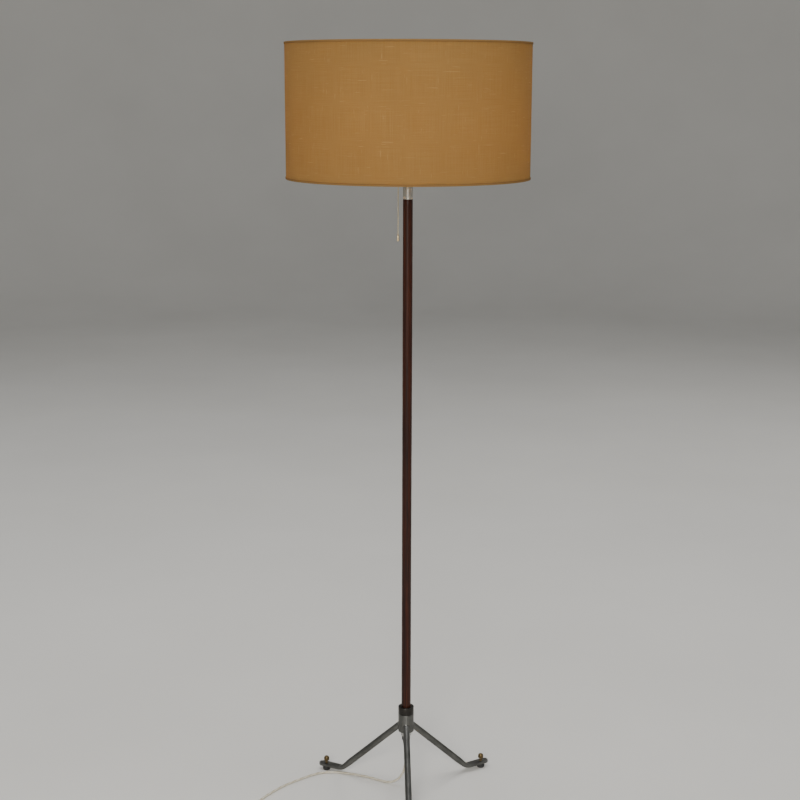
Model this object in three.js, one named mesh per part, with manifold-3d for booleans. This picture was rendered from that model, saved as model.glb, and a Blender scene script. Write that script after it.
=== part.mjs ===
// Tripod floor lamp: a drum shade on a slim wooden stem, standing on three bent steel legs
// with brass levelling screws. Millimetres, +Z up. The origin is on the floor under the stem.
import * as THREE from 'three';
import { mergeVertices } from 'three/addons/utils/BufferGeometryUtils.js';
import Module from 'manifold-3d';

const wasm = await Module();
wasm.setup();

// ---- driving dimensions ----
const GAP = 0.3;

const SHADE_R = 250;
const SHADE_HEIGHT = 271;
const SHADE_BOTTOM = 1347;
const SHADE_TOP = SHADE_BOTTOM + SHADE_HEIGHT;
const HEM_THICK = 0.6;
const HEM_HEIGHT = 4.2;
const HEM_INNER_R = 243.6;
const CLOTH_THICK = 0.7;
const LINER_THICK = 0.8;
const SHADE_WIRE_R = 1.75;

const STEM_R = 10.2;
const STEM_TOP = 1305;
const TUBE_R = 5;
const TUBE_BORE_R = 4;
const TUBE_BOTTOM = 119;
const TUBE_TOP = 1349;
const TUBE_HOLE_R = TUBE_R + 0.4;

const HUB_R = 17;
const HUB_BOTTOM = 138;
const HUB_TOP = 196;
const STEM_SEAT = 170;

const LEG_R = 7;
const LEG_SLOPE = THREE.MathUtils.degToRad(43);
const LEG_ROOT_R = 12.3;
const LEG_ENTRY_Z = 148.5;
const LEG_BEND_R = 22;
const LEG_AZIMUTHS = { front: -90, right: 30, left: 150 };

const TAB_WIDTH = 20;
const TAB_THICK = 6.5;
const TAB_BOTTOM = 9.5;
const TAB_TIP = 222;
const FOOT_PLACE = 204;

const SCREW_R = 3;
const SCREW_HOLE_R = 3.5;
const SCREW_TRAVEL = 6;
const KNOB_R = 6;
const KNOB_HEIGHT = 10.5;
const GLIDE_R = 8.5;

const NECK_TOP = 1334;
const CAP_TOP = 1358;
const HOLDER_TOP = 1397;
const HOLDER_R = 20;
const HOLDER_WALL = 1.8;
const INSULATOR_BOTTOM = 1362.3;
const SHELL_R = 14.3;
const CONTACT_THICK = 1;
const RING_R = 25;
const RING_HEIGHT = 4.2;
const CARRIER_BOTTOM = 1370.5;
const CARRIER_THICK = 3.2;
const BULB_R = 30;
const BULB_CENTRE = 1446;
const BULB_CAP_BOTTOM = 1374;
const BULB_CAP_R = 13.2;

const CHAIN_PLACE = -20;
const CHAIN_R = 1.2;
const CHAIN_TOP = 1345.5;
const CHAIN_BOTTOM = 1234.3;
const PULL_KNOB_BOTTOM = 1219;

const CORD_R = 2.5;
const CORD_EXIT_Z = 97;
const COIL_CENTRE = [-300, -150];
const COIL_TURN_RADII = [20.5, 35.5];
const COIL_LAYERS = 2;
const COIL_BOTTOM = 1.2;
const TIE_THICK = 0.8;
const TIE_WIDTH = 8;
const TIE_AZIMUTH = THREE.MathUtils.degToRad(35);
const PLUG_BACK = [-246, -186];
const PLUG_MIDDLE_Z = 7.2;
const PLUG_LENGTH = 34;
const PIN_R = 2;
const PIN_LENGTH = 19;
const PIN_SPACING = 18.6;

// ---- materials ----
function material(color, roughness, metalness) {
  return new THREE.MeshStandardMaterial({ color, roughness, metalness });
}

const steel = () => material(0x5d605c, 0.45, 0.9);
const nickel = () => material(0xb9bab6, 0.3, 1);
const brass = () => material(0xb08d4e, 0.35, 1);
const wood = () => material(0x3e1c12, 0.45, 0);
const linen = () => material(0xcdb48c, 0.9, 0);
const laminate = () => material(0xe6dfd0, 0.5, 0);
const wire = () => material(0xd8d6cf, 0.4, 0.4);
const phenolic = () => material(0x1c1815, 0.4, 0);
const blackPlastic = () => material(0x151515, 0.55, 0);
const clearFlex = () => material(0xcfc8b4, 0.35, 0);
const palePlastic = () => material(0xd9d3c3, 0.4, 0);
const opalGlass = () => material(0xfff4df, 0.3, 0);

// ---- shape helpers ----
// A turned solid about +Z. Profile points are [radius, z], anticlockwise with radius to the
// right and z up. A profile that leaves the axis starts and ends there; others are closed.
function turned(profile, segments = 36) {
  const onAxis = profile[0][0] === 0;
  const outline = onAxis ? profile : [...profile, profile[0]];
  const points = outline.map(([r, z]) => new THREE.Vector2(r, z));
  return new THREE.LatheGeometry(points, segments).rotateX(Math.PI / 2);
}

// A tube section between two radii.
function sleeve(inner, outer, bottom, top, segments = 36) {
  return turned([[outer, bottom], [outer, top], [inner, top], [inner, bottom]], segments);
}

// An upright hexagon nut with a round hole.
function hexNut(acrossFlats, holeR, bottom, height) {
  const shape = new THREE.Shape();
  const corner = acrossFlats / 2 / Math.cos(Math.PI / 6);
  for (let i = 0; i < 6; i += 1) {
    const angle = (i * Math.PI) / 3;
    const point = [corner * Math.cos(angle), corner * Math.sin(angle)];
    if (i === 0) {
      shape.moveTo(...point);
    } else {
      shape.lineTo(...point);
    }
  }
  shape.closePath();
  const hole = new THREE.Path();
  hole.absarc(0, 0, holeR, 0, Math.PI * 2, true);
  shape.holes.push(hole);
  const options = { depth: height, bevelEnabled: false, curveSegments: 24 };
  return new THREE.ExtrudeGeometry(shape, options).translate(0, 0, bottom);
}

// A solid through a row of rings that all have the same number of points.
function loft(rings) {
  const count = rings[0].length;
  const positions = [];
  const index = [];
  for (const ring of rings) {
    for (const point of ring) {
      positions.push(point.x, point.y, point.z);
    }
  }
  for (let i = 0; i + 1 < rings.length; i += 1) {
    for (let j = 0; j < count; j += 1) {
      const a = i * count + j;
      const b = i * count + ((j + 1) % count);
      index.push(a, b, a + count);
      index.push(b, b + count, a + count);
    }
  }
  const last = (rings.length - 1) * count;
  for (let j = 1; j + 1 < count; j += 1) {
    index.push(0, j + 1, j);
    index.push(last, last + j, last + j + 1);
  }
  const geometry = new THREE.BufferGeometry();
  geometry.setAttribute('position', new THREE.Float32BufferAttribute(positions, 3));
  geometry.setIndex(index);
  return geometry;
}

// A closed geometry as a solid that can be joined or cut.
function solid(geometry) {
  const bare = geometry.clone();
  bare.deleteAttribute('normal');
  bare.deleteAttribute('uv');
  const merged = mergeVertices(bare, 1e-4);
  const corners = merged.index.array;
  const kept = [];
  for (let i = 0; i < corners.length; i += 3) {
    const [a, b, c] = [corners[i], corners[i + 1], corners[i + 2]];
    if (a !== b && b !== c && c !== a) {
      kept.push(a, b, c);
    }
  }
  const vertProperties = new Float32Array(merged.attributes.position.array);
  const triVerts = new Uint32Array(kept);
  return new wasm.Manifold(new wasm.Mesh({ numProp: 3, vertProperties, triVerts }));
}

// A joined or cut solid back as a geometry.
function geometryOf(manifold) {
  const mesh = manifold.getMesh();
  const geometry = new THREE.BufferGeometry();
  geometry.setAttribute('position', new THREE.BufferAttribute(mesh.vertProperties, 3));
  geometry.setIndex(new THREE.BufferAttribute(mesh.triVerts, 1));
  return geometry;
}

// One geometry with other geometries cut out of it.
function cut(geometry, ...tools) {
  const result = tools.reduce((left, tool) => left.subtract(solid(tool)), solid(geometry));
  return geometryOf(result);
}

// Several geometries joined into one.
function join(...pieces) {
  return geometryOf(pieces.map(solid).reduce((left, right) => left.add(right)));
}

// A round bar between two points.
function bar(from, to, radius, segments = 16) {
  const start = new THREE.Vector3(...from);
  const along = new THREE.Vector3(...to).sub(start);
  const length = along.length();
  const geometry = new THREE.CylinderGeometry(radius, radius, length, segments);
  geometry.translate(0, length / 2, 0);
  const up = new THREE.Vector3(0, 1, 0);
  const turn = new THREE.Quaternion().setFromUnitVectors(up, along.normalize());
  return geometry.applyQuaternion(turn).translate(...from);
}

const lamp = new THREE.Group();

function add(name, geometry, finish, parent = lamp) {
  const mesh = new THREE.Mesh(geometry, finish);
  mesh.name = name;
  parent.add(mesh);
  return mesh;
}

// ---- legs: round bar from the hub, bent level and forged flat at the foot ----
// Points of a rounded section across the leg. exponent 2 is an ellipse, higher is squarer.
function legSection(r, z, tilt, halfWidth, halfThick, exponent) {
  const sides = 18;
  const ring = [];
  for (let i = 0; i < sides; i += 1) {
    const angle = (i / sides) * Math.PI * 2;
    const across = Math.sign(Math.cos(angle)) * Math.abs(Math.cos(angle)) ** (2 / exponent);
    const over = Math.sign(Math.sin(angle)) * Math.abs(Math.sin(angle)) ** (2 / exponent);
    const rise = over * halfThick;
    const x = r + rise * Math.sin(tilt);
    ring.push(new THREE.Vector3(x, across * halfWidth, z + rise * Math.cos(tilt)));
  }
  return ring;
}

function legAxisZ(r) {
  return LEG_ENTRY_Z + (HUB_R - r) * Math.tan(LEG_SLOPE);
}

const TAB_MIDDLE_Z = TAB_BOTTOM + TAB_THICK / 2;
const TAB_TOP = TAB_BOTTOM + TAB_THICK;
const BEND_CORNER = HUB_R + (LEG_ENTRY_Z - TAB_MIDDLE_Z) / Math.tan(LEG_SLOPE);
const BEND_TANGENT = LEG_BEND_R * Math.tan(LEG_SLOPE / 2);
const BEND_START = BEND_CORNER - BEND_TANGENT * Math.cos(LEG_SLOPE);
const BEND_END = BEND_CORNER + BEND_TANGENT;

function legGeometry() {
  const rings = [];
  const rootHalfThick = LEG_R / Math.cos(LEG_SLOPE);
  rings.push(legSection(LEG_ROOT_R, legAxisZ(LEG_ROOT_R), 0, LEG_R, rootHalfThick, 2));
  rings.push(legSection(40, legAxisZ(40), LEG_SLOPE, LEG_R, LEG_R, 2));
  rings.push(legSection(120, legAxisZ(120), LEG_SLOPE, LEG_R, LEG_R, 2));
  const flatStart = BEND_START - 14;
  const bendSteps = 8;
  rings.push(legSection(flatStart, legAxisZ(flatStart), LEG_SLOPE, LEG_R, LEG_R, 2));
  for (let i = 0; i <= bendSteps; i += 1) {
    const share = i / bendSteps;
    const tilt = LEG_SLOPE * (1 - share);
    const r = BEND_END - LEG_BEND_R * Math.sin(tilt);
    const z = TAB_MIDDLE_Z + LEG_BEND_R * (1 - Math.cos(tilt));
    const flat = (1 + 2 * share) / 3;
    const halfWidth = THREE.MathUtils.lerp(LEG_R, TAB_WIDTH / 2, flat);
    const halfThick = THREE.MathUtils.lerp(LEG_R, TAB_THICK / 2, flat);
    rings.push(legSection(r, z, tilt, halfWidth, halfThick, 2 + 3 * flat));
  }
  const tipSteps = 6;
  for (let i = 0; i <= tipSteps; i += 1) {
    const angle = ((i / tipSteps) * 0.94 * Math.PI) / 2;
    const r = TAB_TIP - (TAB_WIDTH / 2) * (1 - Math.sin(angle));
    const halfWidth = (TAB_WIDTH / 2) * Math.cos(angle);
    rings.push(legSection(r, TAB_MIDDLE_Z, 0, halfWidth, TAB_THICK / 2, 5));
  }
  const hole = new THREE.CylinderGeometry(SCREW_HOLE_R, SCREW_HOLE_R, 4 * TAB_THICK, 24);
  hole.rotateX(Math.PI / 2).translate(FOOT_PLACE, 0, TAB_MIDDLE_Z);
  return cut(loft(rings), hole);
}

function legSocket(azimuth) {
  const inner = LEG_ROOT_R - GAP;
  const outer = HUB_R + 4;
  const radius = LEG_R + GAP;
  const halfThick = radius / Math.cos(LEG_SLOPE);
  const rings = [inner, outer].map((r) => legSection(r, legAxisZ(r), 0, radius, halfThick, 2));
  return loft(rings).rotateZ(THREE.MathUtils.degToRad(azimuth));
}

// ---- levelling feet ----
function glideGeometry() {
  const top = TAB_BOTTOM - GAP;
  return turned([
    [0, 0],
    [GLIDE_R - 1, 0],
    [GLIDE_R, 1],
    [GLIDE_R, top - 2.2],
    [GLIDE_R - 2, top],
    [SCREW_R + GAP, top],
    [SCREW_R + GAP, 3],
    [0, 3],
  ], 24);
}

function levellingScrewGeometry() {
  const shankBottom = 3 + GAP;
  const knobBottom = TAB_TOP + SCREW_TRAVEL + GAP;
  const knobTop = knobBottom + KNOB_HEIGHT;
  const domeHeight = 4.5;
  const profile = [
    [0, shankBottom],
    [SCREW_R, shankBottom],
    [SCREW_R, knobBottom],
    [KNOB_R - 0.7, knobBottom],
    [KNOB_R, knobBottom + 0.7],
  ];
  const domeSteps = 4;
  for (let i = 0; i < domeSteps; i += 1) {
    const angle = ((i / domeSteps) * Math.PI) / 2;
    profile.push([KNOB_R * Math.cos(angle), knobTop - domeHeight * (1 - Math.sin(angle))]);
  }
  profile.push([0, knobTop]);
  return turned(profile, 20);
}

function addTripod() {
  const hubProfile = [
    [HUB_R - 1, HUB_BOTTOM],
    [HUB_R, HUB_BOTTOM + 1],
    [HUB_R, HUB_TOP - 0.8],
    [HUB_R - 0.8, HUB_TOP],
    [STEM_R + GAP, HUB_TOP],
    [STEM_R + GAP, STEM_SEAT],
    [TUBE_HOLE_R, STEM_SEAT],
    [TUBE_HOLE_R, HUB_BOTTOM],
  ];
  const azimuths = Object.values(LEG_AZIMUTHS);
  add('hub', cut(turned(hubProfile), ...azimuths.map(legSocket)), steel());
  for (const [side, azimuth] of Object.entries(LEG_AZIMUTHS)) {
    const spoke = new THREE.Group();
    spoke.rotation.z = THREE.MathUtils.degToRad(azimuth);
    lamp.add(spoke);
    add(`leg_${side}`, legGeometry(), steel(), spoke);
    const foot = new THREE.Group();
    foot.position.x = FOOT_PLACE;
    spoke.add(foot);
    add(`glide_${side}`, glideGeometry(), blackPlastic(), foot);
    add(`levelling_screw_${side}`, levellingScrewGeometry(), brass(), foot);
  }
}

// ---- stem: a threaded tube clamps the wood between the hub and the neck ----
function addStem() {
  const washerTop = HUB_BOTTOM - GAP;
  const washerThick = 1.6;
  const nutHeight = 9;
  const nutTop = washerTop - washerThick - GAP;
  const nutBottom = nutTop - nutHeight;
  add('base_washer', sleeve(TUBE_HOLE_R, 12, washerTop - washerThick, washerTop, 32), steel());
  add('base_nut', hexNut(19, TUBE_HOLE_R, nutBottom, nutHeight), steel());
  add('stem_tube', sleeve(TUBE_BORE_R, TUBE_R, TUBE_BOTTOM, TUBE_TOP, 24), steel());
  add('stem_wood', sleeve(TUBE_HOLE_R, STEM_R, STEM_SEAT + GAP, STEM_TOP), wood());
  const cordHole = CORD_R + GAP;
  add('cord_bushing', turned([
    [4.2, CORD_EXIT_Z],
    [4.6, CORD_EXIT_Z + 1],
    [7.4, CORD_EXIT_Z + 20],
    [9, CORD_EXIT_Z + 21],
    [9, nutBottom - GAP],
    [TUBE_HOLE_R, nutBottom - GAP],
    [TUBE_HOLE_R, TUBE_BOTTOM - GAP],
    [cordHole, TUBE_BOTTOM - GAP],
    [cordHole, CORD_EXIT_Z],
  ], 24), blackPlastic());
  add('inner_flex', bar([0, 0, CORD_EXIT_Z + 0.2], [0, 0, 1351], CORD_R, 8), clearFlex());
  const lip = STEM_TOP + GAP;
  add('neck_sleeve', turned([
    [10.6, lip],
    [10.6, lip + 2.6],
    [9.6, lip + 3],
    [9.6, lip + 3.8],
    [10, lip + 4.2],
    [10, NECK_TOP],
    [TUBE_HOLE_R, NECK_TOP],
    [TUBE_HOLE_R, lip],
  ], 30), nickel());
}

// ---- lampholder with its pull switch ----
// The bell-shaped cap, as [radius, height over the neck], outside then inside.
const CAP_OUTSIDE = [
  [11.5, 0],
  [11.5, 11.7],
  [13.6, 14.7],
  [17.4, 17.7],
  [19.4, 21.2],
];
const CAP_INSIDE = [
  [18, 21.5],
  [16.4, 18.9],
  [12.6, 16.1],
  [10, 12.3],
  [10, 1.7],
];

function addLampholder() {
  const capBottom = NECK_TOP + GAP;
  const lift = ([r, height]) => [r, capBottom + height];
  add('holder_cap', turned([
    ...CAP_OUTSIDE.map(lift),
    [HOLDER_R - 0.4, CAP_TOP],
    [HOLDER_R - HOLDER_WALL, CAP_TOP],
    ...CAP_INSIDE.map(lift),
    [TUBE_HOLE_R, capBottom + 1.7],
    [TUBE_HOLE_R, capBottom],
  ], 30), nickel());
  add('holder_lock_nut', hexNut(14, TUBE_HOLE_R, capBottom + 2, 4.5), steel());
  const blockBottom = TUBE_TOP + 2.3;
  add('switch_block', sleeve(CORD_R + 1, 11.8, blockBottom, INSULATOR_BOTTOM - GAP, 24), phenolic());
  const bodyBottom = CAP_TOP + GAP;
  const step = bodyBottom + 5.7;
  add('holder_body', turned([
    [HOLDER_R - 0.4, bodyBottom],
    [HOLDER_R - 0.4, step],
    [HOLDER_R, step + 1],
    [HOLDER_R, HOLDER_TOP - 1],
    [HOLDER_R - 0.6, HOLDER_TOP],
    [HOLDER_R - HOLDER_WALL, HOLDER_TOP],
    [HOLDER_R - HOLDER_WALL, bodyBottom],
  ]), phenolic());
  const insulatorR = HOLDER_R - HOLDER_WALL - 0.4;
  const insulatorTop = INSULATOR_BOTTOM + 6.7;
  add('holder_insulator', sleeve(2, insulatorR, INSULATOR_BOTTOM, insulatorTop, 24), phenolic());
  const shellBottom = insulatorTop + GAP;
  const shellTop = HOLDER_TOP - 4;
  add('screw_shell', sleeve(SHELL_R - 0.7, SHELL_R, shellBottom, shellTop, 24), brass());
  const contact = new THREE.BoxGeometry(6, 13, CONTACT_THICK);
  contact.translate(0, 0, insulatorTop + 0.4 + CONTACT_THICK / 2);
  add('centre_contact', contact, brass());
  const ringInner = HOLDER_R + GAP;
  const lowerTop = CARRIER_BOTTOM - GAP;
  const upperBottom = CARRIER_BOTTOM + CARRIER_THICK + GAP;
  const lowerRing = sleeve(ringInner, RING_R, lowerTop - RING_HEIGHT, lowerTop);
  const upperRing = sleeve(ringInner, RING_R, upperBottom, upperBottom + RING_HEIGHT);
  add('shade_ring_lower', lowerRing, phenolic());
  add('shade_ring_upper', upperRing, phenolic());
}

function addPullSwitch() {
  const spoutBottom = NECK_TOP;
  const spoutTop = CHAIN_TOP + 2;
  const armZ = NECK_TOP + 7;
  const boreR = CHAIN_R + 0.5;
  const tube = turned([
    [0, spoutBottom],
    [3.2, spoutBottom],
    [2.9, spoutBottom + 2],
    [2.9, spoutTop],
    [0, spoutTop],
  ], 24);
  tube.translate(CHAIN_PLACE, 0, 0);
  const arm = bar([CHAIN_PLACE + 1, 0, armZ], [-CAP_OUTSIDE[0][0] - GAP, 0, armZ], 2.4, 16);
  const bore = bar([CHAIN_PLACE, 0, spoutBottom - 1], [CHAIN_PLACE, 0, spoutTop - 1.2], boreR, 16);
  add('pull_spout', cut(join(tube, arm), bore), nickel());
  const chain = bar([CHAIN_PLACE, 0, CHAIN_BOTTOM], [CHAIN_PLACE, 0, CHAIN_TOP], CHAIN_R, 8);
  add('pull_chain', chain, brass());
  const knobTop = CHAIN_BOTTOM - GAP;
  const knob = turned([
    [0, PULL_KNOB_BOTTOM],
    [1.9, PULL_KNOB_BOTTOM],
    [2.75, PULL_KNOB_BOTTOM + 1.2],
    [2.6, PULL_KNOB_BOTTOM + 6],
    [1.7, knobTop - 2.5],
    [1.5, knobTop],
    [0, knobTop],
  ], 20);
  add('pull_knob', knob.translate(CHAIN_PLACE, 0, 0), brass());
}

// ---- bulb ----
function addBulb() {
  const capTop = BULB_CAP_BOTTOM + 26;
  const neckR = 13;
  const wall = 1;
  const outer = [[neckR, capTop + GAP]];
  const inner = [[neckR - wall, capTop + GAP]];
  const globeSteps = 9;
  const startAngle = -0.98;
  for (let i = 0; i <= globeSteps; i += 1) {
    const angle = THREE.MathUtils.lerp(startAngle, Math.PI / 2, i / globeSteps);
    const last = i === globeSteps;
    const across = last ? 0 : Math.cos(angle);
    outer.push([BULB_R * across, BULB_CENTRE + BULB_R * Math.sin(angle)]);
    inner.push([(BULB_R - wall) * across, BULB_CENTRE + (BULB_R - wall) * Math.sin(angle)]);
  }
  add('bulb_glass', turned([...inner.reverse(), ...outer], 24), opalGlass());
  add('bulb_cap', turned([
    [0, BULB_CAP_BOTTOM],
    [5, BULB_CAP_BOTTOM],
    [11.5, BULB_CAP_BOTTOM + 3.5],
    [BULB_CAP_R, BULB_CAP_BOTTOM + 4.5],
    [BULB_CAP_R, capTop],
    [0, capTop],
  ], 24), nickel());
  const contactTop = BULB_CAP_BOTTOM - GAP;
  add('bulb_contact', turned([
    [0, contactTop - 2.3],
    [3.2, contactTop - 2.3],
    [4.4, contactTop],
    [0, contactTop],
  ], 16), steel());
}

// ---- shade ----
function addShade() {
  const segments = 72;
  const hemInner = SHADE_R - HEM_THICK;
  const clothOuter = hemInner - GAP;
  const clothInner = clothOuter - CLOTH_THICK;
  const linerOuter = clothInner - GAP;
  const linerInner = linerOuter - LINER_THICK;
  const wireMiddle = linerInner - GAP - SHADE_WIRE_R;
  const edgeBottom = SHADE_BOTTOM + HEM_THICK + GAP;
  const edgeTop = SHADE_TOP - HEM_THICK - GAP;
  add('shade_cloth', sleeve(clothInner, clothOuter, edgeBottom, edgeTop, segments), linen());
  add('shade_liner', sleeve(linerInner, linerOuter, edgeBottom, edgeTop, segments), laminate());
  const hem = [
    [SHADE_R, 0],
    [SHADE_R, HEM_HEIGHT],
    [hemInner, HEM_HEIGHT],
    [hemInner, HEM_THICK],
    [HEM_INNER_R, HEM_THICK],
    [HEM_INNER_R, 0],
  ];
  const upper = hem.map(([r, z]) => [r, SHADE_TOP - z]).reverse();
  const lower = hem.map(([r, z]) => [r, SHADE_BOTTOM + z]);
  add('shade_top_hem', turned(upper, segments), linen());
  add('shade_bottom_hem', turned(lower, segments), linen());
  const wireZ = { top: edgeTop - SHADE_WIRE_R, bottom: edgeBottom + SHADE_WIRE_R };
  for (const [end, z] of Object.entries(wireZ)) {
    const ring = new THREE.TorusGeometry(wireMiddle, SHADE_WIRE_R, 6, segments);
    add(`shade_${end}_wire`, ring.translate(0, 0, z), wire());
  }
  const carrierTop = CARRIER_BOTTOM + CARRIER_THICK;
  const pieces = [sleeve(HOLDER_R + 0.6, RING_R + 2, CARRIER_BOTTOM, carrierTop, segments / 2)];
  const armR = 2;
  const armEndR = wireMiddle - SHADE_WIRE_R - GAP - 0.2;
  const armEndZ = SHADE_BOTTOM + 4.5;
  for (const side of Object.values(LEG_AZIMUTHS)) {
    const angle = THREE.MathUtils.degToRad(side);
    const [c, s] = [Math.cos(angle), Math.sin(angle)];
    const middle = CARRIER_BOTTOM + CARRIER_THICK / 2;
    const root = [26 * c, 26 * s, middle];
    pieces.push(bar(root, [armEndR * c, armEndR * s, armEndZ], armR, 12));
  }
  add('shade_carrier', join(...pieces), wire());
}

// ---- mains cord, stored length and plug ----
// The cord's middle line from the bushing to its coil.
const CORD_ROUTE = [
  [0, 0, 96.7],
  [0, 0, 82],
  [-0.5, 0.5, 66],
  [-3, 2, 48],
  [-9, 5.5, 30],
  [-20, 12, 14.5],
  [-36, 21.5, 5],
  [-54, 33, 2.8],
  [-74, 47, 2.7],
  [-100, 61, 2.7],
  [-128, 72, 2.7],
  [-156, 79, 2.7],
  [-182, 79, 2.7],
  [-206, 69, 2.7],
  [-228, 53, 2.7],
  [-250, 35, 2.7],
  [-272, 15, 2.7],
  [-292, -9, 2.7],
  [-311, -35, 2.7],
  [-327, -62, 2.7],
  [-338, -90, 2.7],
  [-342.5, -118, 3],
  [-341, -134, 3.4],
];

// The short end from the coil to the plug.
const CORD_TAIL = [
  [-280.5, -185.8, 7.9],
  [-275, -185.9, 7.5],
  [-268.4, -186, 7.2],
];

function cordTube(route, steps) {
  const points = route.map((point) => new THREE.Vector3(...point));
  const curve = new THREE.CatmullRomCurve3(points, false, 'centripetal');
  const section = new THREE.Shape();
  section.absarc(0, 0, CORD_R, 0, Math.PI * 2, false);
  const options = { steps, extrudePath: curve, curveSegments: 4 };
  return new THREE.ExtrudeGeometry(section, options);
}

function addCord() {
  add('cord_run', cordTube(CORD_ROUTE, 48), clearFlex());
  add('cord_tail', cordTube(CORD_TAIL, 2), clearFlex());
  const [innerTurn, outerTurn] = COIL_TURN_RADII;
  const coilInner = innerTurn - CORD_R - 0.1;
  const coilOuter = outerTurn + CORD_R + 0.1;
  const coilTop = COIL_BOTTOM + COIL_LAYERS * 2 * CORD_R + 0.1;
  const coil = sleeve(coilInner, coilOuter, COIL_BOTTOM, coilTop, 32);
  add('cord_coil', coil.translate(...COIL_CENTRE, 0), clearFlex());
  addCordTie(coilInner, coilOuter, coilTop);
}

// A flat strap around the coil's bundle of turns. The coil curves away under the strap's width,
// so the strap's inner side stands clear by the depth of that curve.
function addCordTie(coilInner, coilOuter, coilTop) {
  const curveDepth = coilInner - Math.sqrt(coilInner ** 2 - (TIE_WIDTH / 2) ** 2);
  const left = coilInner - curveDepth - GAP;
  const right = coilOuter + GAP;
  const bottom = COIL_BOTTOM - GAP;
  const top = coilTop + GAP;
  const band = new THREE.Shape();
  band.moveTo(left - TIE_THICK, bottom - TIE_THICK);
  band.lineTo(right + TIE_THICK, bottom - TIE_THICK);
  band.lineTo(right + TIE_THICK, top + TIE_THICK);
  band.lineTo(left - TIE_THICK, top + TIE_THICK);
  band.closePath();
  const window = new THREE.Path();
  window.moveTo(left, bottom);
  window.lineTo(left, top);
  window.lineTo(right, top);
  window.lineTo(right, bottom);
  window.closePath();
  band.holes.push(window);
  const tie = new THREE.ExtrudeGeometry(band, { depth: TIE_WIDTH, bevelEnabled: false });
  tie.translate(0, 0, -TIE_WIDTH / 2).rotateX(Math.PI / 2);
  const mesh = add('cord_tie', tie, blackPlastic());
  mesh.position.set(...COIL_CENTRE, 0);
  mesh.rotation.z = TIE_AZIMUTH;
}

function addPlug() {
  const plug = new THREE.Group();
  plug.position.set(...PLUG_BACK, 0);
  lamp.add(plug);
  const outline = new THREE.Shape();
  outline.moveTo(0, -7);
  outline.lineTo(12, -15.5);
  outline.lineTo(PLUG_LENGTH, -17.6);
  outline.lineTo(PLUG_LENGTH, 17.6);
  outline.lineTo(12, 15.5);
  outline.lineTo(0, 7);
  outline.closePath();
  const bevel = 1.2;
  const options = { depth: 11.4, bevelThickness: bevel, bevelSize: bevel, bevelSegments: 1 };
  const body = new THREE.ExtrudeGeometry(outline, options).translate(0, 0, bevel + GAP);
  const relief = new THREE.CylinderGeometry(4.6, 3.4, 26, 20).rotateZ(-Math.PI / 2);
  relief.translate(-9, 0, PLUG_MIDDLE_Z);
  add('plug_body', join(body, relief), palePlastic(), plug);
  const pinStart = PLUG_LENGTH + bevel + GAP;
  for (const [name, side] of [['plug_pin_a', -1], ['plug_pin_b', 1]]) {
    const pin = new THREE.CylinderGeometry(PIN_R, PIN_R, PIN_LENGTH, 16).rotateZ(-Math.PI / 2);
    pin.translate(pinStart + PIN_LENGTH / 2, (side * PIN_SPACING) / 2, PLUG_MIDDLE_Z);
    add(name, pin, nickel(), plug);
  }
}

addTripod();
addStem();
addLampholder();
addPullSwitch();
addBulb();
addShade();
addCord();
addPlug();

export default lamp;
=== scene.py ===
"""Looks of the tripod floor lamp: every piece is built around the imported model, in metres.

The z axis is up, the lamp's stem stands on the origin, and the front leg points along -y.
"""

import math
import random

import bpy
import numpy as np
from mathutils import Matrix, Vector


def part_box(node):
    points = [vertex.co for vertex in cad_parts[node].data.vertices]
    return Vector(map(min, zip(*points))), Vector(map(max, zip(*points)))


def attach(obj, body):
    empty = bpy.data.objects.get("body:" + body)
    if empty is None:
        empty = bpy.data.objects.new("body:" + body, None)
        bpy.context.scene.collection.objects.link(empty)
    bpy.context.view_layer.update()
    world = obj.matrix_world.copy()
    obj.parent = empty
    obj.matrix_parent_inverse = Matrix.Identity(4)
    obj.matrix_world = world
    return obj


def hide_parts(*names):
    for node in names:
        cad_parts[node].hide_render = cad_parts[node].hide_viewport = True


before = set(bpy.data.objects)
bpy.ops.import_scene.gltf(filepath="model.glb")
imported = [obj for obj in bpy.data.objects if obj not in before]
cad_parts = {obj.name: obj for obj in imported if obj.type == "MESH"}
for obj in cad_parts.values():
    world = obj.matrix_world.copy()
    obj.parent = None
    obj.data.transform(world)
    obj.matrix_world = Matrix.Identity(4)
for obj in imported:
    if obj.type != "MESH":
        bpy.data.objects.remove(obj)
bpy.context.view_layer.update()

MM = 0.001
SEED = 11
LEG_AZIMUTHS = {"front": -90, "right": 30, "left": 150}


# ---- camera ----
CAMERA_DISTANCE = 3.0907
CAMERA_HEIGHT = 1.5421
CAMERA_AZIMUTH = math.radians(-2.63)
CAMERA_YAW = math.radians(-2.35)
CAMERA_DOWN = math.radians(12.01)
CAMERA_ROLL = math.radians(0.15)
CAMERA_LENS = 67.5


def add_camera():
    data = bpy.data.cameras.new("camera")
    data.lens = CAMERA_LENS
    data.sensor_width = 36
    camera = bpy.data.objects.new("camera", data)
    bpy.context.scene.collection.objects.link(camera)
    x = CAMERA_DISTANCE * math.sin(CAMERA_AZIMUTH)
    y = -CAMERA_DISTANCE * math.cos(CAMERA_AZIMUTH)
    place = Matrix.Translation((x, y, CAMERA_HEIGHT))
    yaw = Matrix.Rotation(CAMERA_YAW, 4, "Z")
    pitch = Matrix.Rotation(math.pi / 2 - CAMERA_DOWN, 4, "X")
    roll = Matrix.Rotation(CAMERA_ROLL, 4, "Z")
    camera.matrix_world = place @ yaw @ pitch @ roll
    bpy.context.scene.camera = camera


add_camera()


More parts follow.
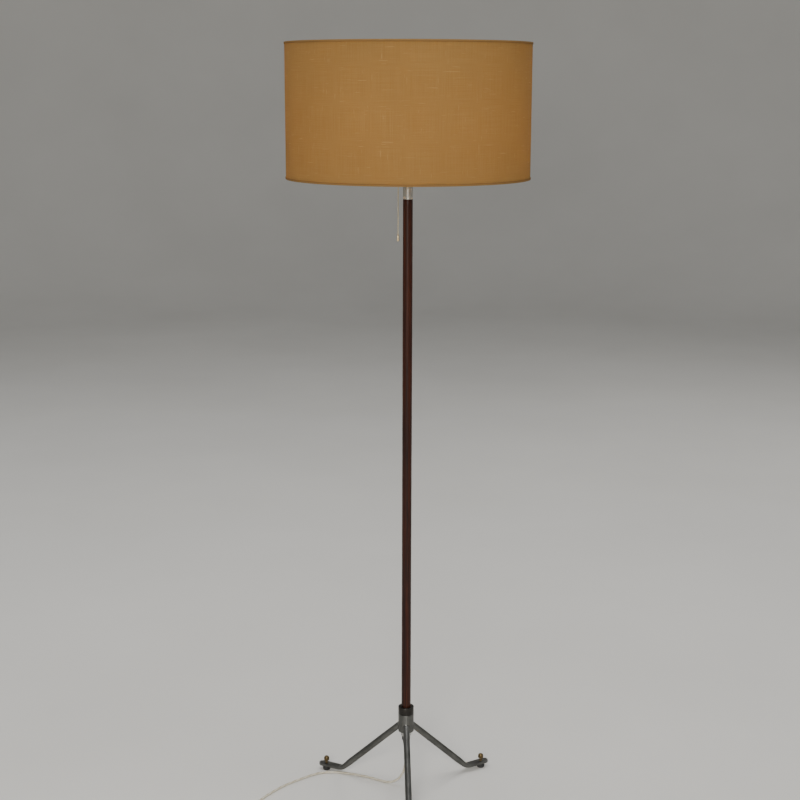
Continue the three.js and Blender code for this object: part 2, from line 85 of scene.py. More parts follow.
# ---- mesh helpers ----
def mesh_piece(name, points, faces, material, smooth=40, uvs=None):
    """An object with smooth shading, except over edges sharper than smooth degrees."""
    mesh = bpy.data.meshes.new(name)
    mesh.from_pydata([tuple(p) for p in points], [], faces)
    if uvs is not None:
        layer = mesh.uv_layers.new(name="metres")
        corners = np.zeros(len(mesh.loops), dtype=np.int32)
        mesh.loops.foreach_get("vertex_index", corners)
        layer.data.foreach_set("uv", np.asarray(uvs, np.float32)[corners].ravel())
    mesh.materials.append(material)
    mesh.validate()
    mesh.shade_smooth()
    mesh.set_sharp_from_angle(angle=math.radians(smooth))
    piece = bpy.data.objects.new(name, mesh)
    bpy.context.scene.collection.objects.link(piece)
    return piece


def dress(piece, body, nodes=()):
    """Puts a piece on its body, in place of its CAD nodes."""
    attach(piece, body)
    if nodes:
        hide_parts(*nodes)
    return piece


def polar(r, angle, z):
    """A point in metres from a radius, an angle and a height in millimetres."""
    return Vector((r * math.cos(angle), r * math.sin(angle), z)) * MM


def wall(inner, outer, bottom, top):
    """The outline of a plain tube."""
    return [[outer, bottom], [outer, top], [inner, top], [inner, bottom]]


def arc(radius, middle_z, angles, middle_r=0):
    """Outline points on a circle."""
    return [[middle_r + radius * math.cos(t), middle_z + radius * math.sin(t)] for t in angles]


def raised(base, points):
    """Outline points whose heights are measured from a base."""
    return [[r, base + z] for r, z in points]


def rounded_box(half_width, half_height, power, sides):
    """Points round a box with soft corners. A power of 2 makes it an ellipse."""
    made = []
    for i in range(sides):
        angle = 2 * math.pi * i / sides
        c, s = math.cos(angle), math.sin(angle)
        across = math.copysign(abs(c) ** (2 / power), c) * half_width
        up = math.copysign(abs(s) ** (2 / power), s) * half_height
        made.append((across, up))
    return made


def softened(outline, radius, steps=3):
    """A closed outline with its corners rounded off. Points on the axis keep theirs."""
    made = []
    count = len(outline)
    for i, corner in enumerate(outline):
        point = np.array(corner, float)
        if point[0] == 0:
            made.append(point)
            continue
        ways = []
        for other in (outline[i - 1], outline[(i + 1) % count]):
            way = np.array(other, float) - point
            length = np.linalg.norm(way)
            ways.append(way / length * min(radius, 0.42 * length))
        for step in range(steps + 1):
            t = step / steps
            made.append(point + ways[0] * (1 - t) ** 2 + ways[1] * t**2)
    return made


def divided(outline, spacing):
    """A closed outline with points added so that none are further apart than spacing."""
    made = []
    for i, point in enumerate(outline):
        start, end = np.array(point, float), np.array(outline[(i + 1) % len(outline)], float)
        parts = max(1, math.ceil(np.linalg.norm(end - start) / spacing))
        if start[0] == 0 and end[0] == 0:
            parts = 1
        made += [start + (end - start) * k / parts for k in range(parts)]
    return made


def turned(name, outline, material, centre=(0, 0), segments=72, soften=0.35, spacing=None, shape=None):
    """A turned solid about a vertical axis. The outline is [radius, z] in millimetres,
    anticlockwise with the radius to the right. shape(angle, radius, z) may change a radius."""
    points = softened(outline, soften) if soften else [np.array(p, float) for p in outline]
    if spacing:
        points = divided(points, spacing)
    rows, verts = [], []
    for radius, z in points:
        row = []
        for i in range(1 if radius < 1e-6 else segments):
            angle = 2 * math.pi * i / segments
            r = shape(angle, radius, z) if shape and radius > 1e-6 else radius
            row.append(len(verts))
            x, y = r * math.cos(angle) * MM, r * math.sin(angle) * MM
            verts.append((centre[0] + x, centre[1] + y, z * MM))
        rows.append(row)
    faces = []
    for k, low in enumerate(rows):
        high = rows[(k + 1) % len(rows)]
        if len(low) == 1 and len(high) == 1:
            continue
        for i in range(segments):
            j = (i + 1) % segments
            ring = [low[i % len(low)], low[j % len(low)], high[j % len(high)], high[i % len(high)]]
            faces.append(list(dict.fromkeys(ring)))
    return mesh_piece(name, verts, faces, material)


def skinned(rings, loop=False):
    """Points and faces through a row of rings with the same number of points. The row has flat
    ends, or is a loop."""
    count = len(rings[0])
    points = [p for ring in rings for p in ring]
    faces = []
    for i in range(len(rings) if loop else len(rings) - 1):
        for j in range(count):
            a, b = i * count + j, i * count + (j + 1) % count
            faces.append([v % len(points) for v in (a, b, b + count, a + count)])
    if not loop:
        faces.append(list(range(count))[::-1])
        faces.append([(len(rings) - 1) * count + j for j in range(count)])
    return points, faces


def frames_along(path):
    """The path's points with two directions across it that don't twist."""
    path = [Vector(p) for p in path]
    made, across = [], None
    for i, point in enumerate(path):
        along = (path[min(i + 1, len(path) - 1)] - path[max(i - 1, 0)]).normalized()
        if across is None:
            across = along.orthogonal().normalized()
        across = (across - along * across.dot(along)).normalized()
        made.append((point, across, along.cross(across)))
    return made


def swept(name, path, radius, material, sides=16):
    """A round rod along a path, with flat ends. Its UVs are the share of a turn and the metres
    along it."""
    rings, uvs, travelled = [], [], 0.0
    frames = frames_along(path)
    for i, (point, across, over) in enumerate(frames):
        if i:
            travelled += (point - frames[i - 1][0]).length
        ring = []
        for j in range(sides):
            angle = 2 * math.pi * j / sides
            c, s = radius * math.cos(angle), radius * math.sin(angle)
            ring.append(point + across * c + over * s)
            uvs.append((j / sides, travelled))
        rings.append(ring)
    points, faces = skinned(rings)
    return mesh_piece(name, points, faces, material, uvs=uvs)


def curve_through(points, spacing):
    """A smooth line through the points, with a point about every spacing metres."""
    control = [Vector(p) for p in points]
    control = [2 * control[0] - control[1]] + control + [2 * control[-1] - control[-2]]
    made = []
    for i in range(1, len(control) - 2):
        p0, p1, p2, p3 = control[i - 1 : i + 3]
        k0, k1, k2 = ((b - a).length ** 0.5 for a, b in ((p0, p1), (p1, p2), (p2, p3)))
        m1 = (p1 - p0) / k0 - (p2 - p0) / (k0 + k1) + (p2 - p1) / k1
        m2 = (p2 - p1) / k1 - (p3 - p1) / (k1 + k2) + (p3 - p2) / k2
        steps = max(2, round((p2 - p1).length / spacing))
        for s in range(steps):
            t = s / steps
            made.append(
                p1 * (2 * t**3 - 3 * t**2 + 1)
                + m1 * k1 * (t**3 - 2 * t**2 + t)
                + p2 * (3 * t**2 - 2 * t**3)
                + m2 * k1 * (t**3 - t**2)
            )
    made.append(control[-2])
    return made


def applied(piece, operation, cutter):
    """Cuts or joins the cutter's shape, and drops the cutter."""
    change = piece.modifiers.new(operation.lower(), "BOOLEAN")
    change.operation = operation
    change.solver = "EXACT"
    change.object = cutter
    bpy.context.view_layer.update()
    shown = piece.evaluated_get(bpy.context.evaluated_depsgraph_get())
    mesh = bpy.data.meshes.new_from_object(shown)
    piece.modifiers.clear()
    piece.data = mesh
    mesh.name = piece.name
    mesh.shade_smooth()
    mesh.set_sharp_from_angle(angle=math.radians(40))
    bpy.data.objects.remove(cutter)
    return piece


def joined(name, pieces):
    """Several pieces with one material made into one object."""
    points, faces = [], []
    for piece in pieces:
        start = len(points)
        points += [piece.matrix_world @ v.co for v in piece.data.vertices]
        faces += [[start + v for v in p.vertices] for p in piece.data.polygons]
    material = pieces[0].data.materials[0]
    for piece in pieces:
        bpy.data.objects.remove(piece)
    return mesh_piece(name, points, faces, material)


def about_z(piece, azimuth):
    """Turns a piece's own mesh about the lamp's axis."""
    piece.data.transform(Matrix.Rotation(math.radians(azimuth), 4, "Z"))
    return piece


class Span:
    """A CAD node's place and size in millimetres: its middle, radius, bottom and top."""

    def __init__(self, node):
        low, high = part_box(node)
        self.low, self.high = low / MM, high / MM
        self.centre = ((low.x + high.x) / 2, (low.y + high.y) / 2)
        self.radius = (self.high.x - self.low.x) / 2
        self.bottom, self.top = self.low.z, self.high.z


# ---- materials ----
class Finish:
    """A material that is built up in nodes from object coordinates or UVs."""

    def __init__(self, name, color=(0.5, 0.5, 0.5), roughness=0.5, metallic=0.0, **sockets):
        self.material = bpy.data.materials.new(name)
        self.material.use_nodes = True
        self.tree = self.material.node_tree
        self.shader = self.tree.nodes["Principled BSDF"]
        self.shader.inputs["Base Color"].default_value = (*color, 1)
        self.shader.inputs["Roughness"].default_value = roughness
        self.shader.inputs["Metallic"].default_value = metallic
        for socket, value in sockets.items():
            self.shader.inputs[socket.replace("_", " ")].default_value = value
        self.material.diffuse_color = (*color, 1)

    def node(self, kind, inputs=None, **settings):
        node = self.tree.nodes.new("ShaderNode" + kind)
        for key, value in settings.items():
            setattr(node, key, value)
        for key, value in (inputs or {}).items():
            if isinstance(value, bpy.types.NodeSocket):
                self.tree.links.new(value, node.inputs[key])
            else:
                node.inputs[key].default_value = value
        return node

    def noise(self, scale, detail=3.0, roughness=0.55, source="Object", distortion=0.0):
        """Noise with one scale, or with one for each axis."""
        scales = scale if isinstance(scale, tuple) else (scale,) * 3
        coordinates = self.node("TexCoord").outputs[source]
        place = self.node("Mapping", {"Vector": coordinates, "Scale": scales}).outputs[0]
        inputs = {"Vector": place, "Scale": 1.0, "Detail": detail}
        inputs.update({"Roughness": roughness, "Distortion": distortion})
        return self.node("TexNoise", inputs).outputs["Fac"]

    def spread(self, value, low, high, to_low=0.0, to_high=1.0):
        inputs = {"Value": value, "From Min": low, "From Max": high, "To Min": to_low, "To Max": to_high}
        return self.node("MapRange", inputs).outputs["Result"]

    def math(self, operation, a, b=0.0, c=0.0):
        return self.node("Math", {0: a, 1: b, 2: c}, operation=operation).outputs[0]

    def times(self, a, b):
        return self.math("MULTIPLY", a, b)

    def plus(self, a, b):
        return self.math("ADD", a, b)

    def mix(self, share, first, second):
        colors = [(*c, 1) if isinstance(c, tuple) else c for c in (first, second)]
        inputs = {0: share, 6: colors[0], 7: colors[1]}
        return self.node("Mix", inputs, data_type="RGBA").outputs[2]

    def ramp(self, value, *stops):
        node = self.node("ValToRGB", {"Fac": value})
        elements = node.color_ramp.elements
        while len(elements) < len(stops):
            elements.new(0.5)
        for element, (position, color) in zip(elements, stops):
            element.position = position
            element.color = (*color, 1)
        return node.outputs["Color"]

    def color(self, value):
        self.tree.links.new(value, self.shader.inputs["Base Color"])

    def roughness(self, value):
        self.tree.links.new(value, self.shader.inputs["Roughness"])

    def bump(self, height, distance, strength=1.0):
        inputs = {"Height": height, "Distance": distance, "Strength": strength}
        normal = self.node("Bump", inputs).outputs[0]
        self.tree.links.new(normal, self.shader.inputs["Normal"])
        return normal

    def let_through(self, share, color, **inputs):
        """Lets a share of the light through to the other side, as cloth and film do."""
        behind = self.node("BsdfTranslucent", {"Color": color, **inputs})
        both = self.node("MixShader", {0: share, 1: self.shader.outputs[0], 2: behind.outputs[0]})
        self.tree.links.new(both.outputs[0], self.tree.nodes["Material Output"].inputs["Surface"])


def metal(name, color, dull, roughness, brush, brush_depth, wear):
    """A plated or bare metal: soft brushing, dull patches, and brighter rubbed edges."""
    made = Finish(name, color, roughness, 1.0)
    patches = made.noise(38, 4)
    fine = made.noise(brush, 2)
    rubbed = made.spread(made.node("NewGeometry").outputs["Pointiness"], 0.52, 0.6)
    bright = tuple(min(1, 1.5 * c + 0.05) for c in color)
    tone = made.mix(made.spread(patches, 0.35, 0.7), color, dull)
    made.color(made.mix(made.times(rubbed, wear), tone, bright))
    patchy = made.spread(patches, 0.3, 0.75, roughness - 0.07, roughness + 0.12)
    made.roughness(made.plus(patchy, made.spread(fine, 0.3, 0.7, -0.05, 0.05)))
    made.bump(fine, brush_depth, 0.5)
    return made.material


def wood():
    """Oiled rosewood: reddish brown with long dark streaks and open pores along the stem."""
    gloss = {"Coat_Weight": 0.08, "Coat_Roughness": 0.25, "Specular_IOR_Level": 0.2}
    made = Finish("dark_wood", (0.06, 0.02, 0.01), 0.4, **gloss)
    figure = made.noise((95, 95, 3.2), 5, 0.6, distortion=0.9)
    streaks = made.noise((420, 420, 7), 4, 0.65)
    tone = made.ramp(
        figure,
        (0.3, (0.009, 0.003, 0.0018)), (0.46, (0.03, 0.0072, 0.0032)),
        (0.6, (0.058, 0.0135, 0.005)), (0.75, (0.024, 0.0062, 0.0028)),
    )
    tone = made.mix(made.spread(streaks, 0.42, 0.68, 0, 0.75), tone, (0.01, 0.0035, 0.0025))
    pores = made.spread(made.noise((1500, 1500, 26), 2, 0.5), 0.58, 0.68)
    tone = made.mix(made.times(pores, 0.7), tone, (0.008, 0.004, 0.003))
    made.color(tone)
    made.roughness(made.plus(made.spread(streaks, 0.3, 0.7, 0.3, 0.46), made.times(pores, 0.25)))
    grain = made.math("SUBTRACT", made.times(streaks, 0.4), pores)
    made.bump(grain, 0.00008, 0.6)
    return made.material


THREAD_PITCH = 0.62 * MM
# The folded strip's raw edge, in millimetres across the strip from the shade's rim, and the width and
# colour of the painted shadow line that runs along it.
HEM_EDGE = 4.1
HEM_EDGE_WIDTH = 1.8
HEM_EDGE_SHADOW = (0.2, 0.1, 0.035)


def weave(made, along, up):
    """Plain weave height from 0 to 1, for threads that run along and up, in metres."""
    warp = made.math("SINE", made.times(along, 2 * math.pi / THREAD_PITCH))
    weft = made.math("SINE", made.times(up, 2 * math.pi / THREAD_PITCH))
    over = made.times(warp, weft)
    threads = made.math("MAXIMUM", made.math("ABSOLUTE", warp), made.math("ABSOLUTE", weft))
    return made.math("MULTIPLY_ADD", over, 0.25, made.times(threads, 0.75))


def linen(name, glow, light, dark, slub_color):
    """Natural linen. The threads vary in thickness and colour, with short thick slubs in both
    directions, and the cloth lets warm light through."""
    made = Finish(name, light, 0.88, Specular_IOR_Level=0.15)
    uv = made.node("TexCoord").outputs["UV"]
    parts = made.node("SeparateXYZ", {"Vector": uv})
    cloth = weave(made, parts.outputs[0], parts.outputs[1])
    rows = made.noise((14, 1500, 1), 2, source="UV")
    columns = made.noise((1500, 14, 1), 2, source="UV")
    clouds = made.noise((9, 9, 1), 4, source="UV")
    flat_slubs = made.spread(made.noise((24, 360, 1), 2, 0.5, source="UV"), 0.67, 0.73)
    tall_slubs = made.spread(made.noise((360, 28, 1), 2, 0.5, source="UV"), 0.685, 0.74)
    slubs = made.math("MAXIMUM", flat_slubs, tall_slubs)
    threads = made.plus(made.spread(rows, 0.3, 0.7, 0, 0.5), made.spread(columns, 0.3, 0.7, 0, 0.5))
    tone = made.mix(threads, dark, light)
    tone = made.mix(made.spread(clouds, 0.35, 0.7, 0, 0.3), tone, dark)
    tone = made.mix(made.times(slubs, 0.7), tone, slub_color)
    # A painted shadow line along the hem strip's raw edge, where the edge casts its shadow.
    painted_edge_shadow = made.math("COMPARE", parts.outputs[1], HEM_EDGE * MM, HEM_EDGE_WIDTH / 2 * MM)
    tone = made.mix(made.times(painted_edge_shadow, 0.6), tone, HEM_EDGE_SHADOW)
    made.color(tone)
    height = made.plus(made.times(cloth, 0.35), made.times(threads, 0.35))
    height = made.plus(height, slubs)
    normal = made.bump(height, 0.00022, 0.8)
    through = made.mix(made.times(slubs, 0.4), tone, (0.2, 0.1, 0.03))
    made.let_through(glow, through, Normal=normal)
    return made.material


def laminate():
    """The stiff translucent sheet that the linen is glued to."""
    made = Finish("shade_laminate", (0.86, 0.8, 0.68), 0.55)
    clouds = made.noise(30, 3)
    tone = made.mix(made.spread(clouds, 0.3, 0.7), (0.88, 0.82, 0.7), (0.8, 0.73, 0.6))
    made.color(tone)
    made.bump(made.noise(900, 2), 0.00003, 0.5)
    made.let_through(0.6, tone)
    return made.material


def plastic(name, color, other, roughness, grain, depth):
    """A moulded or painted surface: fine grain, and a colour that isn't quite even."""
    made = Finish(name, color, roughness)
    clouds = made.noise(60, 4)
    fine = made.noise(grain, 2)
    made.color(made.mix(made.spread(clouds, 0.35, 0.7), color, other))
    made.roughness(made.spread(clouds, 0.3, 0.7, roughness - 0.06, roughness + 0.08))
    made.bump(fine, depth, 0.6)
    return made.material


# From one dark stripe to the next, in metres along the flex.
STRIPE_SPACING = 0.022


def clear_flex():
    """Pale see-through sheath: the twisted cores inside show as soft slanting stripes."""
    sheath = {"Coat_Weight": 0.5, "Coat_Roughness": 0.12, "Subsurface_Weight": 0.15}
    sheath["Subsurface_Radius"] = (0.002, 0.0015, 0.001)
    made = Finish("clear_flex", (0.6, 0.52, 0.36), 0.28, **sheath)
    parts = made.node("SeparateXYZ", {"Vector": made.node("TexCoord").outputs["UV"]})
    around = made.times(parts.outputs[0], 4 * math.pi)
    turns = made.math("MULTIPLY_ADD", parts.outputs[1], 2 * math.pi / STRIPE_SPACING, around)
    stripe = made.spread(made.math("SINE", turns), -0.7, 0.9)
    dust = made.noise(160, 3)
    tone = made.mix(stripe, (0.64, 0.6, 0.5), (0.52, 0.46, 0.34))
    made.color(made.mix(made.spread(dust, 0.4, 0.75, 0, 0.35), tone, (0.72, 0.68, 0.58)))
    made.roughness(made.spread(dust, 0.3, 0.7, 0.22, 0.38))
    made.bump(stripe, 0.0001, 0.5)
    return made.material


def opal_glass():
    """The lit bulb: warm light from all over its frosted glass."""
    glow = {"Emission_Color": (1.0, 0.62, 0.28, 1), "Emission_Strength": BULB_STRENGTH}
    made = Finish("opal_glass", (0.95, 0.9, 0.8), 0.25, **glow)
    frost = made.noise(500, 2)
    made.color(made.mix(frost, (0.96, 0.91, 0.82), (0.9, 0.85, 0.76)))
    made.bump(frost, 0.00002, 0.4)
    return made.material


BULB_STRENGTH = 42.0
STEEL = (0.15, 0.15, 0.142)
NICKEL = (0.66, 0.63, 0.57)
BRASS = (0.66, 0.44, 0.17)

# Fine grooves round a turned piece: close together along its axis.
TURNED_GRAIN = (60, 60, 2600)

satin_steel = metal("satin_steel", STEEL, (0.095, 0.096, 0.09), 0.4, 700, 0.00004, 0.6)
satin_nickel = metal("satin_nickel", NICKEL, (0.52, 0.5, 0.46), 0.27, (30, 30, 5200), 0.00003, 0.4)
brass = metal("brass", BRASS, (0.4, 0.25, 0.09), 0.3, TURNED_GRAIN, 0.00003, 0.6)
pale_brass = metal("pale_brass", (0.78, 0.66, 0.42), (0.6, 0.48, 0.28), 0.3, 900, 0.00002, 0.4)
aged_brass = metal("aged_brass", (0.2, 0.14, 0.065), (0.1, 0.072, 0.036), 0.38, TURNED_GRAIN, 0.00003, 0.9)
# The darker finish of the band round the hub's mouth.
dark_band = metal("dark_band_steel", (0.05, 0.046, 0.042), (0.03, 0.028, 0.026), 0.42, 900, 0.00004, 0.7)
bulb_metal = metal("bulb_metal", (0.72, 0.71, 0.69), (0.55, 0.54, 0.52), 0.32, 900, 0.00003, 0.3)
zinc = metal("zinc_steel", (0.48, 0.48, 0.46), (0.33, 0.33, 0.31), 0.4, 1300, 0.00004, 0.4)
dark_wood = wood()
shade_linen = linen("linen", 0.45, (0.41, 0.255, 0.092), (0.315, 0.18, 0.058), (0.54, 0.35, 0.14))
hem_linen = linen("linen_trim", 0.42, (0.42, 0.26, 0.1), (0.33, 0.19, 0.062), (0.5, 0.33, 0.14))
shade_laminate = laminate()
white_wire = plastic("white_wire", (0.74, 0.71, 0.63), (0.66, 0.63, 0.55), 0.42, 1500, 0.00006)
phenolic = plastic("phenolic", (0.03, 0.02, 0.014), (0.045, 0.028, 0.018), 0.28, 900, 0.00002)
black_plastic = plastic("black_plastic", (0.018, 0.018, 0.018), (0.03, 0.029, 0.028), 0.55, 2200, 0.00005)
ivory_plastic = plastic("ivory_plastic", (0.72, 0.66, 0.5), (0.66, 0.6, 0.44), 0.34, 1800, 0.00003)
felt = plastic("felt", (0.05, 0.05, 0.048), (0.09, 0.088, 0.082), 0.95, 2600, 0.0003)
flex_sheath = clear_flex()
lit_glass = opal_glass()


# ---- mains cord ----
CORD_R = 2.5 * MM
# The same route as the CAD tube's, in metres.
CORD_ROUTE = [
    (0, 0, 0.0967), (0, 0, 0.082), (-0.0005, 0.0005, 0.066), (-0.003, 0.002, 0.048),
    (-0.009, 0.0055, 0.030), (-0.020, 0.012, 0.0145), (-0.036, 0.0215, 0.005),
    (-0.054, 0.033, 0.0028), (-0.074, 0.047, 0.0027), (-0.100, 0.061, 0.0027),
    (-0.128, 0.072, 0.0027), (-0.156, 0.079, 0.0027), (-0.182, 0.079, 0.0027),
    (-0.206, 0.069, 0.0027), (-0.228, 0.053, 0.0027), (-0.250, 0.035, 0.0027),
    (-0.272, 0.015, 0.0027), (-0.292, -0.009, 0.0027), (-0.311, -0.035, 0.0027),
    (-0.327, -0.062, 0.0027), (-0.338, -0.090, 0.0027), (-0.3425, -0.118, 0.003),
    (-0.341, -0.134, 0.0034),
]
CORD_TAIL = [(-0.2805, -0.1858, 0.0079), (-0.275, -0.1859, 0.0075), (-0.2684, -0.186, 0.0072)]
COIL_TURNS = 4
COIL_STEP = 15


def smooth_step(value):
    value = min(1.0, max(0.0, value))
    return value * value * (3 - 2 * value)


def coil_points():
    """Turns that wind inwards on the floor, climb at the middle and wind out on top. The angle
    is the travel from the coil's -x side, where the cord comes in along -y."""
    low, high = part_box("cord_coil")
    middle = (low + high) / 2
    pitch = 2 * CORD_R
    outer = (high.x - low.x) / 2 - CORD_R - 0.0001
    inner = outer - (COIL_TURNS - 1) * pitch
    floor_z = low.z + CORD_R
    climb_from = COIL_TURNS * 360 - 60
    made = []
    last = (2 * COIL_TURNS - 1) * 360 + 90
    for travel in range(10, last - 4, COIL_STEP):
        if travel < COIL_TURNS * 360:
            turn = travel // 360
            radius = outer - pitch * (turn - 1 + smooth_step((travel % 360) / 50)) if turn else outer
        else:
            back = travel - COIL_TURNS * 360
            turn = back // 360
            radius = inner + pitch * (turn + smooth_step((back % 360 - 240) / 55))
        z = floor_z + pitch * smooth_step((travel - climb_from) / 60)
        angle = math.pi + math.radians(travel)
        made.append((middle.x + radius * math.cos(angle), middle.y + radius * math.sin(angle), z))
    return made


def add_cord():
    exit_point = (0, 0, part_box("cord_bushing")[0].z)
    line = curve_through([*CORD_ROUTE, *coil_points(), *CORD_TAIL], 0.004)
    cord = dress(swept("mains_cord", line, CORD_R, flex_sheath, 18), "base")
    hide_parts("cord_run", "cord_tail", "cord_coil")
    return cord, line, exit_point


mains_cord, cord_line, cord_exit = add_cord()


TIE_THICK = 0.8
TIE_HALF_WIDTH = 4.0
TIE_GAP = 0.3
TIE_AZIMUTH = 35


def add_tie():
    """A closed strap round the coil."""
    low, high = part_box("cord_coil")
    middle = (low + high) / 2
    outer = (high.x - low.x) / 2 / MM
    inner = outer - 2 * CORD_R / MM * COIL_TURNS - 0.2
    left, right = inner - 0.75, outer + TIE_GAP
    bottom, top = low.z / MM - TIE_GAP, high.z / MM + TIE_GAP

    def section(grow, radius):
        corners = wall(left - grow, right + grow, bottom - grow, top + grow)
        return softened([corners[3], *corners[:3]], radius, 6)

    rings = []
    for near, far in zip(section(0, 2.2), section(TIE_THICK, 3.0)):
        ring = [(near[0], -TIE_HALF_WIDTH, near[1]), (near[0], TIE_HALF_WIDTH, near[1])]
        ring += [(far[0], TIE_HALF_WIDTH, far[1]), (far[0], -TIE_HALF_WIDTH, far[1])]
        rings.append([Vector(p) * MM for p in ring])
    strap = mesh_piece("coil_tie", *skinned(rings, loop=True), black_plastic)
    turn = Matrix.Rotation(math.radians(TIE_AZIMUTH), 4, "Z")
    strap.data.transform(Matrix.Translation((middle.x, middle.y, 0)) @ turn)
    return dress(strap, "base", ["cord_tie"])


coil_tie = add_tie()


PLUG_MIDDLE_Z = 7.2
RELIEF_LENGTH = 22.5
RELIEF_RIBS = 7
STEPS_PER_RIB = 6
RIB_DEPTH = 0.45


def plug_section(x, half_width, half_height, power, middle_z, sides=48):
    outline = rounded_box(half_width, half_height, power, sides)
    return [Vector((x, across, middle_z + up)) * MM for across, up in outline]


def add_plug():
    """A moulded two-pin plug with a ribbed strain relief and grips at its sides."""
    low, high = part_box("plug_body")
    back, face = low.x / MM, high.x / MM
    middle_y = (low.y + high.y) / 2
    half_width, half_height = (high.y - low.y) / 2 / MM, (high.z - low.z) / 2 / MM - 0.05
    rings = []
    steps = RELIEF_RIBS * STEPS_PER_RIB
    for i in range(steps + 1):
        share = i / steps
        groove = RIB_DEPTH if i % STEPS_PER_RIB in (2, 3) and i < steps - 4 else 0.0
        r = 3.35 + 1.25 * share - groove
        rings.append(plug_section(back + RELIEF_LENGTH * share, r, r, 2, PLUG_MIDDLE_Z))
    body_from = back + RELIEF_LENGTH
    body_length = face - body_from
    profile = [
        (0.0, 5.0, 4.7, 2), (0.03, 6.6, 5.2, 2.2), (0.12, 9.0, 5.7, 2.5), (0.22, 11.6, 6.1, 2.8),
        (0.32, 13.9, 6.5, 3), (0.38, 14.6, 6.65, 3.2), (0.41, 14.1, 6.65, 3.2),
        (0.44, 15.4, 6.75, 3.4), (0.48, 14.9, 6.75, 3.4), (0.51, 16.2, 6.8, 3.6),
        (0.55, 15.7, 6.8, 3.6), (0.58, 16.9, 6.85, 3.8), (0.7, 17.4, 6.88, 4),
        (0.85, half_width - 1.0, 6.9, 4.2), (0.93, half_width - 0.9, half_height, 4.4),
        (0.975, half_width - 1.1, half_height - 0.1, 4.4),
        (0.993, half_width - 1.6, half_height - 0.5, 4.2),
        (1.0, half_width - 2.6, half_height - 1.3, 4),
    ]
    for share, width, height, power in profile:
        x = body_from + body_length * share
        rings.append(plug_section(x, width, height, power, PLUG_MIDDLE_Z))
    body = mesh_piece("plug_shell", *skinned(rings), ivory_plastic, smooth=50)
    body.data.transform(Matrix.Translation((0, middle_y, 0)))
    dress(body, "base", ["plug_body"])
    made = [body]
    for node in ("plug_pin_a", "plug_pin_b"):
        span = Span(node)
        end = span.high.x - span.low.x
        y, z = (span.low.y + span.high.y) / 2, (span.low.z + span.high.z) / 2
        sleeve = [(0, 2.0), (9.6, 2.0), (10.0, 1.85)]
        bare = [(9.9, 1.9), (end - 1.6, 1.9), (end - 0.7, 1.65), (end - 0.2, 1.1), (end, 0.3)]
        for suffix, finish, slot, stations in (
            ("_sleeve", ivory_plastic, "ivory_plastic", sleeve),
            ("_tip", satin_nickel, "satin_nickel", bare),
        ):
            pin_rings = []
            for x, r in stations:
                ring = plug_section(span.low.x + x - 0.3, r, r, 2, z, 24)
                pin_rings.append([Vector((p.x, p.y + y * MM, p.z)) for p in ring])
            pin = mesh_piece(node + suffix, *skinned(pin_rings), finish)
            made.append(dress(pin, "base", [node] if suffix == "_tip" else ()))
    return made


plug_pieces = add_plug()


# ---- base: hub, legs and levelling feet ----
LEG_R = 7.0
LEG_SLOPE = math.radians(43)
LEG_ROOT_R = 12.3
LEG_ENTRY_Z = 148.5
LEG_BEND_R = 22.0
TAB_HALF_WIDTH = 10.0
TAB_HALF_THICK = 3.25
TAB_MIDDLE_Z = 12.75
SOCKET_GAP = 0.25
COLLAR_HEIGHT = 17.0
# Clearance round the threaded tube.
TUBE_HOLE_R = 5.4

hub_span = Span("hub")
HUB_R = hub_span.radius
FOOT_PLACE = math.hypot(*Span("glide_right").centre) / MM
TAB_TIP = -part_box("leg_front")[0].y / MM


def leg_section(r, z, tilt, half_width, half_thick, power):
    ring = []
    for across, rise in rounded_box(half_width, half_thick, power, 40):
        point = (r + rise * math.sin(tilt), across, z + rise * math.cos(tilt))
        ring.append(Vector(point) * MM)
    return ring


def leg_axis_z(r):
    return LEG_ENTRY_Z + (HUB_R - r) * math.tan(LEG_SLOPE)


def leg_rings():
    """The rod's sections: straight down from the hub, round the bend and out along the tab,
    which was hammered flat and so is a little uneven."""
    rng = random.Random(SEED)
    corner = HUB_R + (LEG_ENTRY_Z - TAB_MIDDLE_Z) / math.tan(LEG_SLOPE)
    tangent = LEG_BEND_R * math.tan(LEG_SLOPE / 2)
    bend_start = corner - tangent * math.cos(LEG_SLOPE)
    bend_end = corner + tangent
    root_half_thick = LEG_R / math.cos(LEG_SLOPE)
    rings = [leg_section(LEG_ROOT_R, leg_axis_z(LEG_ROOT_R), 0, LEG_R, root_half_thick, 2)]
    straight = 16
    first, last = 32, bend_start - 14
    for i in range(straight + 1):
        r = first + (last - first) * i / straight
        rings.append(leg_section(r, leg_axis_z(r), LEG_SLOPE, LEG_R, LEG_R, 2))
    steps = 20
    for i in range(steps + 1):
        share = i / steps
        tilt = LEG_SLOPE * (1 - share)
        r = bend_end - LEG_BEND_R * math.sin(tilt)
        z = TAB_MIDDLE_Z + LEG_BEND_R * (1 - math.cos(tilt))
        flat = 1 / 3 + 2 / 3 * smooth_step(share)
        width = LEG_R + (TAB_HALF_WIDTH - LEG_R) * flat
        thick = LEG_R + (TAB_HALF_THICK - LEG_R) * flat
        rings.append(leg_section(r, z, tilt, width, thick, 2 + 3 * flat))
    flat_to = TAB_TIP - TAB_HALF_WIDTH
    for i in range(1, 9):
        r = bend_end + (flat_to - bend_end) * i / 8
        dent = rng.uniform(-0.12, 0.0)
        width, thick = TAB_HALF_WIDTH + dent, TAB_HALF_THICK + dent / 2
        rings.append(leg_section(r, TAB_MIDDLE_Z, 0, width, thick, 5))
    tip_steps = 14
    for i in range(1, tip_steps + 1):
        angle = i / tip_steps * 0.975 * math.pi / 2
        r = flat_to + TAB_HALF_WIDTH * math.sin(angle)
        thin = 1 - 0.3 * max(0.0, (i / tip_steps - 0.7) / 0.3) ** 2
        width, thick = TAB_HALF_WIDTH * math.cos(angle), TAB_HALF_THICK * thin
        rings.append(leg_section(r, TAB_MIDDLE_Z, 0, width, thick, 5))
    return rings


